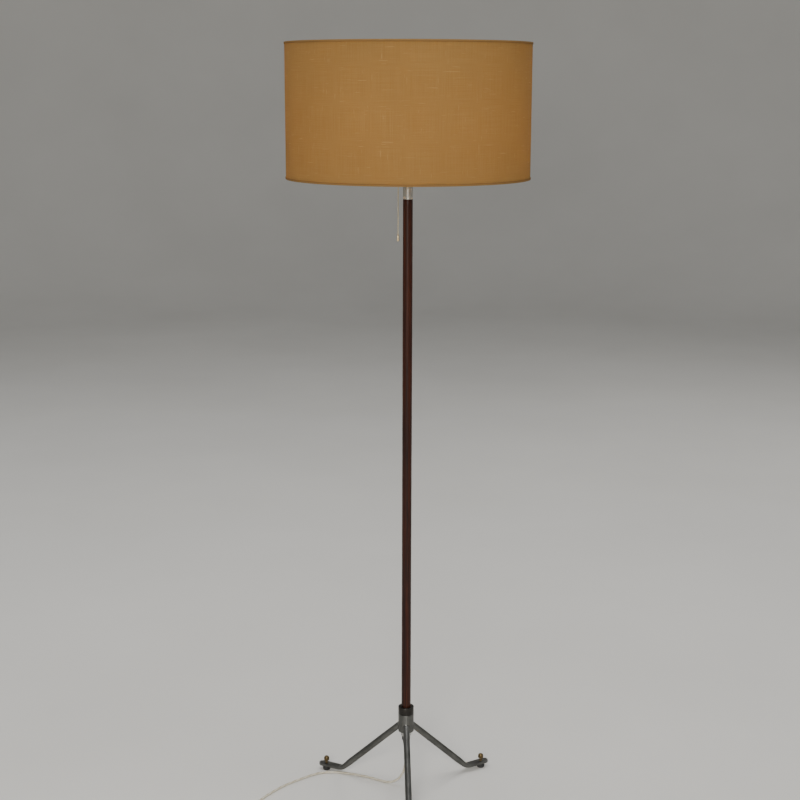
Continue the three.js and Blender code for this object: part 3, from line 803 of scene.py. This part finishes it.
def socket(azimuth):
    """The shape of the slanting hole in the hub for one leg."""
    half_thick = (LEG_R + SOCKET_GAP) / math.cos(LEG_SLOPE)
    ends = (11.8, HUB_R + 4)
    rings = [leg_section(r, leg_axis_z(r), 0, LEG_R + SOCKET_GAP, half_thick, 2) for r in ends]
    return about_z(mesh_piece("socket", *skinned(rings), satin_steel), azimuth)


def braze(side, azimuth):
    """The small fillet of filler metal where the rod enters the hub."""
    along = Vector((math.cos(LEG_SLOPE), 0, -math.sin(LEG_SLOPE)))
    upright = Vector((math.sin(LEG_SLOPE), 0, math.cos(LEG_SLOPE)))
    axis = Vector((HUB_R, 0, LEG_ENTRY_Z))
    rng = random.Random(SEED + azimuth)
    steps, rings = 64, []
    phases = [rng.uniform(0, 2 * math.pi) for _ in range(3)]
    for i in range(steps):
        angle = 2 * math.pi * i / steps
        out = Vector((0, math.cos(angle), 0)) + upright * math.sin(angle)
        start = axis + out * LEG_R
        a = along.x**2
        b = 2 * start.x * along.x
        c = start.x**2 + start.y**2 - HUB_R**2
        t = (-b + math.sqrt(b * b - 4 * a * c)) / (2 * a)
        meet = start + along * t
        size = 2.0 + 0.22 * sum(math.sin((k + 2) * angle + phases[k]) for k in range(3))
        normal = Vector((meet.x, meet.y, 0)).normalized()
        sideways = (out - normal * out.dot(normal)).normalized()
        on_hub = meet + sideways * size
        on_wall = Vector((on_hub.x, on_hub.y)).normalized() * (HUB_R - 0.05)
        on_hub = Vector((*on_wall, on_hub.z))
        on_rod = meet + along * size - out * 0.05
        root = meet - normal * 0.8 - out * 0.6
        ring = []
        for k in range(6):
            s = k / 5
            pull = meet + (normal + out) * 0.12
            ring.append((on_hub * (1 - s) ** 2 + pull * 2 * s * (1 - s) + on_rod * s**2) * MM)
        ring.append(root * MM)
        rings.append(ring)
    fillet = mesh_piece(f"braze_{side}", *skinned(rings, loop=True), satin_steel, smooth=50)
    return dress(about_z(fillet, azimuth), "base")


def helical(pitch, depth, z_from, z_to, fade=1.0):
    """A shape function that cuts a round-bottomed screw thread into the outer wall."""

    def shape(angle, radius, z):
        share = min(1.0, max(0.0, (z - z_from) / fade), max(0.0, (z_to - z) / fade))
        wave = 0.5 - 0.5 * math.cos(2 * math.pi * z / pitch - angle)
        return radius - depth * share * wave if z_from < z < z_to else radius

    return shape


def knurled(count, depth, z_from, z_to, outer):
    """A shape function that cuts straight flutes into a band of the outer wall."""

    def shape(angle, radius, z):
        if not z_from < z < z_to or radius < outer - 0.4:
            return radius
        share = min(1.0, (z - z_from) / 0.5, (z_to - z) / 0.5)
        return radius - depth * share * (0.5 + 0.5 * math.cos(count * angle))

    return shape


def add_hub():
    """The hub with a darker band round its mouth, made as a separate collar."""
    bottom, top = hub_span.bottom, hub_span.top
    seat = Span("stem_wood").bottom - 0.3
    wood_r = Span("stem_wood").radius + 0.3
    step = top - COLLAR_HEIGHT
    # The band round the hub's mouth is a separate ring in a darker finish than the casting below it.
    collar = wall(wood_r, HUB_R, step, top)
    dress(turned("hub_collar", collar, dark_band, segments=128, soften=0.9), "base")
    step -= 0.05
    outline = [[HUB_R, bottom], [HUB_R, step], [wood_r, step], [wood_r, seat]]
    outline += [[TUBE_HOLE_R, seat], [TUBE_HOLE_R, bottom]]
    hub = turned("hub_casting", outline, satin_steel, segments=128, soften=1.2)
    for azimuth in LEG_AZIMUTHS.values():
        applied(hub, "DIFFERENCE", socket(azimuth))
    dress(hub, "base", ["hub"])


def add_leg(side, azimuth):
    leg = mesh_piece(f"leg_rod_{side}", *skinned(leg_rings()), satin_steel)
    cut = [[0, 0], [3.5, 0], [3.5, 30], [0, 30]]
    hole = turned("hole", cut, satin_steel, (FOOT_PLACE * MM, 0), 48, soften=0)
    applied(leg, "DIFFERENCE", hole)
    dress(about_z(leg, azimuth), "base", [f"leg_{side}"])
    braze(side, azimuth)


PAD_TOP = 1.3
SHANK_R = 3.0
SCREW_PITCH = 1.0
KNOB_HEIGHT = 10.5
KNOB_DOME = 4.7


def add_glide(side):
    """A black foot with a felt pad under it."""
    glide = Span(f"glide_{side}")
    r, top = glide.radius, glide.top
    outline = [[0, PAD_TOP], [r - 0.2, PAD_TOP], [r, 2.2], [r, top - 2.4]]
    outline += [[r - 2.2, top], [3.3, top], [3.3, 3], [0, 3]]
    body = turned(f"glide_foot_{side}", outline, black_plastic, glide.centre, 56)
    dress(body, f"foot_{side}", [f"glide_{side}"])
    outline = [[0, 0], [r - 0.7, 0], [r - 0.7, PAD_TOP - 0.05], [0, PAD_TOP - 0.05]]
    pad = turned(f"glide_pad_{side}", outline, felt, glide.centre, 40)
    dress(pad, f"foot_{side}")


def add_screw(side):
    """A threaded shank with a fluted, domed knob."""
    screw = Span(f"levelling_screw_{side}")
    low, top, r = screw.bottom, screw.top, screw.radius
    knob = top - KNOB_HEIGHT
    outline = [[0, low], [SHANK_R - 0.5, low], [SHANK_R, low + 0.6]]
    outline += [[SHANK_R, knob + 0.4], [0, knob + 0.4]]
    thread = helical(SCREW_PITCH, 0.42, low + 0.5, knob + 0.3)
    details = {"soften": 0, "spacing": 0.16, "shape": thread}
    shank = turned(f"levelling_shank_{side}", outline, aged_brass, screw.centre, 32, **details)
    dress(shank, f"screw_{side}")
    dome = []
    for t in np.linspace(0.12, math.pi / 2, 9)[:-1]:
        dome.append([r * math.cos(t), top - KNOB_DOME + KNOB_DOME * math.sin(t)])
    outline = raised(knob, [(0, 0), (r - 0.8, 0), (r, 0.7), (r, 5.0), (r - 0.45, 5.3), (r - 0.45, 5.6)])
    outline += [*dome, [0, top]]
    flutes = knurled(36, 0.32, knob + 0.6, knob + 5.1, r)
    details = {"soften": 0.25, "spacing": 0.5, "shape": flutes}
    head = turned(f"levelling_knob_{side}", outline, aged_brass, screw.centre, 144, **details)
    dress(head, f"screw_{side}", [f"levelling_screw_{side}"])


def add_base():
    add_hub()
    for side, azimuth in LEG_AZIMUTHS.items():
        add_leg(side, azimuth)
        add_glide(side)
        add_screw(side)


add_base()


# ---- stem ----
def hex_nut(name, node, across_flats, hole_r, material, body):
    """A hexagon nut with turned chamfers on both faces."""
    span = Span(node)
    bottom, top = span.bottom, span.top
    corner = across_flats / 2 / math.cos(math.pi / 6)
    rings = [[polar(corner, i * math.pi / 3, z) for i in range(6)] for z in (bottom, top)]
    nut = mesh_piece(name, *skinned(rings), material, smooth=20)
    flat_r = across_flats / 2 - 0.2
    chamfer = (corner - flat_r) * 0.55
    limit = [
        [hole_r, bottom - 0.01], [flat_r, bottom - 0.01], [corner + 0.1, bottom + chamfer],
        [corner + 0.1, top - chamfer], [flat_r, top + 0.01], [hole_r, top + 0.01],
    ]
    applied(nut, "INTERSECT", turned("limit", limit, material, segments=96, soften=0))
    nut.data.set_sharp_from_angle(angle=math.radians(20))
    return dress(nut, body, [node])


def add_stem():
    wood_span = Span("stem_wood")
    r, bottom, top = wood_span.radius, wood_span.bottom, wood_span.top
    outline = wall(TUBE_HOLE_R, r, bottom, top)

    def hand_turned(angle, radius, z):
        if radius < r - 1:
            return radius
        return radius - 0.05 * (1 + math.sin(z / 61)) * 0.5 - 0.03 * (1 + math.sin(z / 17 + 1))

    stem = turned("stem_rosewood", outline, dark_wood, soften=0.7, spacing=12, shape=hand_turned)
    dress(stem, "base", ["stem_wood"])

    neck = Span("neck_sleeve")
    lip_r, low, high, tube_r = neck.radius, neck.bottom, neck.top, 10.0
    outline = raised(low, [(lip_r, 0), (lip_r, 2.6), (lip_r - 1, 3.0), (lip_r - 1, 3.8), (tube_r, 4.2)])
    outline += [[tube_r, high], [TUBE_HOLE_R, high], [TUBE_HOLE_R, low]]
    collar = turned("neck_collar", outline, satin_nickel, segments=96)
    dress(collar, "base", ["neck_sleeve"])

    hex_nut("base_hex_nut", "base_nut", 19, TUBE_HOLE_R, zinc, "base")
    washer = Span("base_washer")
    outline = wall(TUBE_HOLE_R, 12, washer.bottom, washer.top)
    dress(turned("base_flat_washer", outline, zinc), "base", ["base_washer"])

    relief = Span("cord_bushing")
    low, high = relief.bottom, relief.top
    cord_hole = 2.8
    outline = raised(low, [(4.2, 0), (4.6, 1), (7.4, 20), (9, 21)])
    outline += raised(high, [(9, 0), (TUBE_HOLE_R, 0), (TUBE_HOLE_R, -8.1), (cord_hole, -8.1)])
    outline.append([cord_hole, low])

    def ribbed(angle, radius, z):
        if radius < 3.5 or z > low + 18.5:
            return radius
        return radius - 0.7 * smooth_step(math.sin(2 * math.pi * (z - low) / 3.0) * 2)

    details = {"segments": 56, "spacing": 0.35, "shape": ribbed}
    bushing = turned("cord_strain_relief", outline, black_plastic, **details)
    return dress(bushing, "base", ["cord_bushing"])


strain_relief = add_stem()


# ---- lampholder, switch and bulb ----
# The bell's walls as radius and height over its bottom, up the outside and down the inside.
BELL_OUTSIDE = [(11.5, 0), (11.5, 11.7), (13.0, 14.0), (15.4, 16.2), (17.6, 18.1), (19.1, 20.6)]
BELL_INSIDE = [(18, 21.5), (16.4, 18.9), (12.6, 16.1), (10, 12.3), (10, 1.7)]
BELL_INSIDE += [(TUBE_HOLE_R, 1.7), (TUBE_HOLE_R, 0)]


def add_lampholder():
    cap = Span("holder_cap")
    low, high = cap.bottom, cap.top
    body = Span("holder_body")
    r = body.radius
    outline = raised(low, BELL_OUTSIDE) + [[19.6, high], [18.2, high]] + raised(low, BELL_INSIDE)
    bell = turned("holder_bell", outline, satin_nickel, segments=96)
    dress(bell, "base", ["holder_cap"])

    low, high = body.bottom, body.top
    outline = raised(low, [(r - 0.4, 0), (r - 0.4, 5.7), (r, 6.7)])
    outline += raised(high, [(r, -1), (r - 0.6, 0), (r - 1.8, 0)])
    outline.append([r - 1.8, low])
    thread = helical(2.6, 0.42, low + 7.5, high - 1.5)

    def threaded(angle, radius, z):
        return thread(angle, radius, z) if radius > r - 0.7 else radius

    details = {"segments": 96, "soften": 0.2, "spacing": 0.5, "shape": threaded}
    dress(turned("holder_skirt", outline, phenolic, **details), "base", ["holder_body"])
    for name, node in (("shade_nut_lower", "shade_ring_lower"), ("shade_nut_upper", "shade_ring_upper")):
        ring = Span(node)
        outline = wall(r + 0.3, ring.radius, ring.bottom, ring.top)
        shape = knurled(30, 0.55, ring.bottom + 0.2, ring.top - 0.2, ring.radius)
        nut = turned(name, outline, phenolic, segments=150, soften=0.4, spacing=0.6, shape=shape)
        dress(nut, "base", [node])


SPOUT_ARM_RISE = 7
BEAD_PITCH = 3.3
WIRE_R = 0.4
# Where a bead's round side meets the wire, in radians above and below its middle.
BEAD_ARC = 1.22
# The knob's profile as radius and height over its bottom.
PULL_KNOB = [(0, 0), (1.5, 0), (2.2, 0.5), (2.75, 1.6), (2.7, 3.2), (2.35, 3.7), (2.35, 4.2)]
PULL_KNOB += [(2.6, 4.7), (2.45, 8.2), (2.0, 10.6), (1.6, 11.4), (1.95, 12.1), (1.95, 13.0), (1.5, 13.6)]


def add_spout(x):
    """The pull chain's spout with the short arm that joins it to the bell, x to the side."""
    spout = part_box("pull_spout")
    low, high = spout[0].z / MM, spout[1].z / MM
    outline = raised(low, [(3.2, 0), (3.2, 0.9), (2.8, 1.3), (2.9, 2.4)])
    outline += raised(high, [(2.9, -1.2), (1.6, 0), (0, 0), (0, -1.5), (1.7, -1.5)])
    outline.append([1.7, low])
    tube = turned("spout_tube", outline, satin_nickel, (x * MM, 0), 40, soften=0.3)
    rods = (("arm", x + 1, -11.8, 2.4, 32), ("collar", -13.6, -11.75, 3.3, 6))
    for name, start, end, r, sides in rods:
        path = [(place * MM, 0, (low + SPOUT_ARM_RISE) * MM) for place in (start, end)]
        applied(tube, "UNION", swept("spout_" + name, path, r * MM, satin_nickel, sides))
    tube.name = tube.data.name = "switch_spout"
    dress(tube, "base", ["pull_spout"])
    return spout[0].z


def chain_outline(bottom, top, bead_r):
    """Round beads on a wire."""
    beads = int((top - bottom) / BEAD_PITCH)
    pitch = (top - bottom - bead_r) / beads
    outline = [[0, bottom], [WIRE_R, bottom]]
    for i in range(beads):
        middle = bottom + pitch * (i + 0.5)
        bead = arc(bead_r, middle, np.linspace(-BEAD_ARC, BEAD_ARC, 7))
        outline += [[max(WIRE_R, r), z] for r, z in bead]
    return outline + [[WIRE_R, top], [0, top]]


def add_switch_pull():
    """The spout, the bead chain that hangs from it, and the bell-shaped knob at its end."""
    chain_span = Span("pull_chain")
    x = chain_span.centre[0] / MM
    exit_z = add_spout(x)
    top, bottom = chain_span.top - 1.3, chain_span.bottom
    outline = chain_outline(bottom, top, chain_span.radius)
    chain = turned("bead_chain", outline, pale_brass, (x * MM, 0), 14, soften=0)
    dress(chain, "pull", ["pull_chain"])

    knob = Span("pull_knob")
    outline = [*raised(knob.bottom, PULL_KNOB), [1.2, knob.top], [0, knob.top]]
    bell = turned("pull_bell", outline, pale_brass, (x * MM, 0), 48, soften=0.3)
    dress(bell, "pull", ["pull_knob"])
    steps = 24
    line = [(x * MM, 0, (top + (bottom - top) * i / steps) * MM) for i in range(steps + 1)]
    return chain, bell, line, (x * MM, 0, exit_z), (top - bottom) * MM


# How far the bulb turns as it climbs, in radians a metre: the coupling of its two joints.
BULB_TURN = 1731.38


def add_bulb():
    cap = Span("bulb_cap")
    low, high, r = cap.bottom, cap.top, cap.radius
    outline = raised(low, [(0, 0), (5, 0), (8.5, 1.6), (11.5, 3.2), (12.6, 4.2), (r, 5)])
    outline += [[r, high], [0, high]]
    pitch = 2 * math.pi / BULB_TURN / MM
    thread = helical(pitch, 0.85, low + 4.6, high - 2, 2.0)

    def rolled(angle, radius, z):
        return thread(angle, radius, z) if radius > 11.8 else radius

    details = {"segments": 96, "soften": 0.4, "spacing": 0.45, "shape": rolled}
    shell = turned("bulb_screw_cap", outline, bulb_metal, **details)
    dress(shell, "bulb", ["bulb_cap"])
    glass = Span("bulb_glass")
    globe_r, neck_r, wall_thick = glass.radius, 13.0, 1
    middle = glass.top - globe_r
    outer = arc(globe_r, middle, np.linspace(-1.02, math.pi / 2, 40)[:-1])
    inner = arc(globe_r - wall_thick, middle, np.linspace(math.pi / 2, -1.02, 20)[1:])
    outline = [[neck_r, glass.bottom], *outer, [0, glass.top], [0, glass.top - wall_thick]]
    outline += [*inner, [neck_r - wall_thick, glass.bottom]]
    globe = turned("bulb_globe", outline, lit_glass, soften=0)
    dress(globe, "bulb", ["bulb_glass"])
    tip = Span("bulb_contact")
    outline = [[0, tip.bottom], [2.2, tip.bottom], [3.6, tip.bottom + 0.9], [4.4, tip.top], [0, tip.top]]
    contact = turned("bulb_solder_tip", outline, zinc, segments=40)
    dress(contact, "bulb_tip", ["bulb_contact"])


add_lampholder()
bead_chain, pull_weight, chain_line, chain_exit, chain_length = add_switch_pull()
add_bulb()


# ---- shade ----
shade_hem = Span("shade_bottom_hem")
SHADE_R = shade_hem.radius
SHADE_BOTTOM = shade_hem.bottom
SHADE_TOP = Span("shade_top_hem").top
SHADE_SEGMENTS = 180
SEAM_AZIMUTH = math.radians(118)
# The width of the cloth's and the film's glued seam, in millimetres.
OVERLAP = 10.0


def out_of_round(angle, z):
    """The shade is a hand-made drum, so it is a fraction of a millimetre out of true."""
    return 0.16 * math.sin(3 * angle + 0.6) + 0.1 * math.sin(5 * angle + z / 90)


def drum_sheet(name, radius, bottom, top, material):
    """A single sheet of cloth or film rolled into a drum, with UVs in metres."""
    rows = 24
    points, uvs, faces = [], [], []
    for k in range(rows + 1):
        z = bottom + (top - bottom) * k / rows
        for i in range(SHADE_SEGMENTS + 1):
            angle = SEAM_AZIMUTH + 2 * math.pi * i / SHADE_SEGMENTS
            points.append(polar(radius + out_of_round(angle, z), angle, z))
            uvs.append((radius * MM * 2 * math.pi * i / SHADE_SEGMENTS, z * MM))
    width = SHADE_SEGMENTS + 1
    for k in range(rows):
        for i in range(SHADE_SEGMENTS):
            a = k * width + i
            faces.append([a, a + 1, a + 1 + width, a + width])
    return mesh_piece(name, points, faces, material, uvs=uvs)


def hem_band(name, edge_z, inward, nodes):
    """A strip of linen that lies flat on the outside, folds over the rim and reaches inside.
    inward is 1 when the strip rises from the rim at edge_z and -1 when it hangs from it."""
    thick, height, reach = 0.6, 4.2, 6.4
    outline = [
        [SHADE_R, 0], [SHADE_R, height], [SHADE_R - thick, height], [SHADE_R - thick, thick],
        [SHADE_R - reach, thick], [SHADE_R - reach, 0],
    ]
    section = divided(softened(outline, 0.8, 4), 1.2)
    points, uvs, faces = [], [], []
    steps = SHADE_SEGMENTS * 2
    around = len(section)
    sides = [np.linalg.norm(section[(k + 1) % around] - section[k]) for k in range(around)]
    measure = np.cumsum([0, *sides])
    for i in range(steps):
        angle = 2 * math.pi * i / steps
        hand = 0.12 * math.sin(17 * angle) + 0.09 * math.sin(41 * angle + 1)
        for k, (r, rise) in enumerate(section):
            rise_here = rise + (hand if rise > height - 1 and r > SHADE_R - 1.5 else 0)
            radius = r + out_of_round(angle, edge_z) - 0.26
            points.append(polar(radius, angle, edge_z + inward * rise_here))
            uvs.append((SHADE_R * MM * angle, measure[k] * MM))
    for i in range(steps):
        for k in range(around):
            a, b = i * around + k, i * around + (k + 1) % around
            c, d = (b + around) % len(points), (a + around) % len(points)
            faces.append([a, d, c, b] if inward > 0 else [a, b, c, d])
    band = mesh_piece(name, points, faces, hem_linen, uvs=uvs)
    return dress(band, "shade", nodes)


def add_seam(bottom, top):
    """The cloth's overlapped end, glued down at the back."""
    half = OVERLAP / 2 / SHADE_R
    profile = [(-1, 0.02), (-0.94, 0.42), (-0.5, 0.5), (0.5, 0.5), (0.94, 0.42), (1, 0.02)]
    rings = []
    rows = 40
    for k in range(rows + 1):
        z = bottom + (top - bottom) * k / rows
        ring = []
        for side, lift in profile:
            angle = SEAM_AZIMUTH + half * side
            ring.append(polar(SHADE_R - 1.25 + lift + out_of_round(angle, z), angle, z))
        rings.append(ring)
    points, faces = skinned(rings)
    uvs = [(0.0017 * (i % 6), p.z) for i, p in enumerate(points)]
    seam = mesh_piece("shade_seam", points, faces, hem_linen, uvs=uvs)
    return dress(seam, "shade")


def add_rings():
    rings = []
    for end in ("top", "bottom"):
        span = Span(f"shade_{end}_wire")
        wire_r = (span.top - span.bottom) / 2
        middle_r, middle_z = span.radius - wire_r, (span.top + span.bottom) / 2
        circle = arc(wire_r, middle_z, np.linspace(0, 2 * math.pi, 15)[:-1], middle_r)
        ring = turned(f"shade_{end}_ring", circle, white_wire, segments=SHADE_SEGMENTS, soften=0)
        rings.append(dress(ring, "shade", [f"shade_{end}_wire"]))
    return rings


def add_carrier():
    """A plate on the lampholder with three arms that slope down to the lower rim."""
    carrier = Span("shade_carrier")
    ring_top = carrier.top
    plate = 3.2
    outline = wall(20.6, 27, ring_top - plate, ring_top)
    pieces = [turned("carrier_plate", outline, white_wire, segments=96, soften=0.6)]
    arm_r = 2.0
    start, end = (24.6, ring_top - plate / 2), (SHADE_R - 7.2, SHADE_BOTTOM + 4.5)
    for azimuth in LEG_AZIMUTHS.values():
        path = []
        for i in range(25):
            s = i / 24
            r, z = (a + (b - a) * s for a, b in zip(start, end))
            path.append(Vector((r, 0, z)) * MM)
        arm = swept(f"carrier_arm_{azimuth}", path, arm_r * MM, white_wire, 20)
        pieces.append(about_z(arm, azimuth))
    dress(joined("shade_spider", pieces), "shade", ["shade_carrier"])


def add_shade():
    cloth_span, liner_span = Span("shade_cloth"), Span("shade_liner")
    bottom, top = cloth_span.bottom, cloth_span.top
    cloth_r = cloth_span.radius - 0.4
    cloth = drum_sheet("shade_linen", cloth_r, bottom, top, shade_linen)
    dress(cloth, "shade", ["shade_cloth"])
    film_r = liner_span.radius - 0.4
    film = drum_sheet("shade_film", film_r, bottom, top, shade_laminate)
    dress(film, "shade", ["shade_liner"])
    lower = hem_band("hem_lower", SHADE_BOTTOM, 1, ["shade_bottom_hem"])
    upper = hem_band("hem_upper", SHADE_TOP, -1, ["shade_top_hem"])
    seam = add_seam(SHADE_BOTTOM + 4.4, SHADE_TOP - 4.4)
    held = {"held": "stretched", "rests_on": [ring.name for ring in add_rings()]}
    add_carrier()


add_shade()


# ---- finishes of the CAD nodes that stay ----
KEPT_NODES = {
    "stem_tube": zinc,
    "inner_flex": flex_sheath,
    "holder_lock_nut": zinc,
    "switch_block": phenolic,
    "holder_insulator": phenolic,
    "screw_shell": brass,
    "centre_contact": brass,
}
for node, finish in KEPT_NODES.items():
    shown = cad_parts[node].data.materials
    for index in range(len(shown)):
        shown[index] = finish


# ---- studio ----
def add_floor():
    """A pale floor that sweeps up into a round wall far behind the lamp and the camera."""
    made = Finish("studio_paper", (0.74, 0.73, 0.7), 0.75)
    clouds = made.noise(1.2, 3)
    made.color(made.mix(made.spread(clouds, 0.3, 0.7), (0.75, 0.74, 0.71), (0.71, 0.7, 0.67)))
    made.bump(made.noise(260, 3), 0.0002, 0.3)
    flat, sweep, height = 7.0, 2.5, 9.0
    profile = [(0.0, 0.0), (1.5, 0.0), (4.0, 0.0), (flat, 0.0)]
    for t in np.linspace(0, math.pi / 2, 14)[1:]:
        profile.append((flat + sweep * math.sin(t), sweep * (1 - math.cos(t))))
    profile.append((flat + sweep, height))
    segments = 96
    points, faces = [(0, 0, 0)], []
    for r, z in profile[1:]:
        for i in range(segments):
            angle = 2 * math.pi * i / segments
            points.append((r * math.cos(angle), r * math.sin(angle), z))
    for i in range(segments):
        faces.append([0, 1 + i, 1 + (i + 1) % segments])
    for k in range(len(profile) - 2):
        for i in range(segments):
            a, b = 1 + k * segments + i, 1 + k * segments + (i + 1) % segments
            faces.append([a, a + segments, b + segments, b])
    mesh_piece("studio_floor", points, faces, made.material, smooth=60)


# Each light's place, width in metres, watts, colour and the point that it is aimed at.
LIGHTS = {
    "key": ((-0.6, -4.3, 2.3), 1.5, 155, (1.0, 0.97, 0.92), (0, 0, 1.2)),
    "fill": ((3.6, -0.8, 2.2), 1.6, 10, (0.93, 0.96, 1.0), (0, 0, 0.9)),
    "back_right": ((2.4, 3.6, 3.0), 1.6, 26, (1.0, 0.98, 0.95), (0, 0, 0)),
    "back_left": ((-3.4, 2.8, 2.8), 1.8, 22, (0.97, 0.98, 1.0), (0, 0, 0)),
    "overhead": ((0, 0, 4.6), 3.0, 95, (1.0, 1.0, 1.0), (0, 0, 0)),
}


def add_light(name, place, size, watts, color, aim):
    data = bpy.data.lights.new(name, "AREA")
    data.shape = "DISK"
    data.size = size
    data.energy = watts
    data.color = color
    light = bpy.data.objects.new(name, data)
    bpy.context.scene.collection.objects.link(light)
    way = Vector(aim) - Vector(place)
    light.matrix_world = Matrix.Translation(place) @ way.to_track_quat("-Z", "Y").to_matrix().to_4x4()
    light.visible_camera = False


def add_world():
    world = bpy.data.worlds.new("studio")
    world.use_nodes = True
    background = world.node_tree.nodes["Background"]
    background.inputs["Color"].default_value = (0.95, 0.97, 1.0, 1)
    background.inputs["Strength"].default_value = 0.24
    bpy.context.scene.world = world


add_floor()
add_world()
for name, settings in LIGHTS.items():
    add_light(name, *settings)
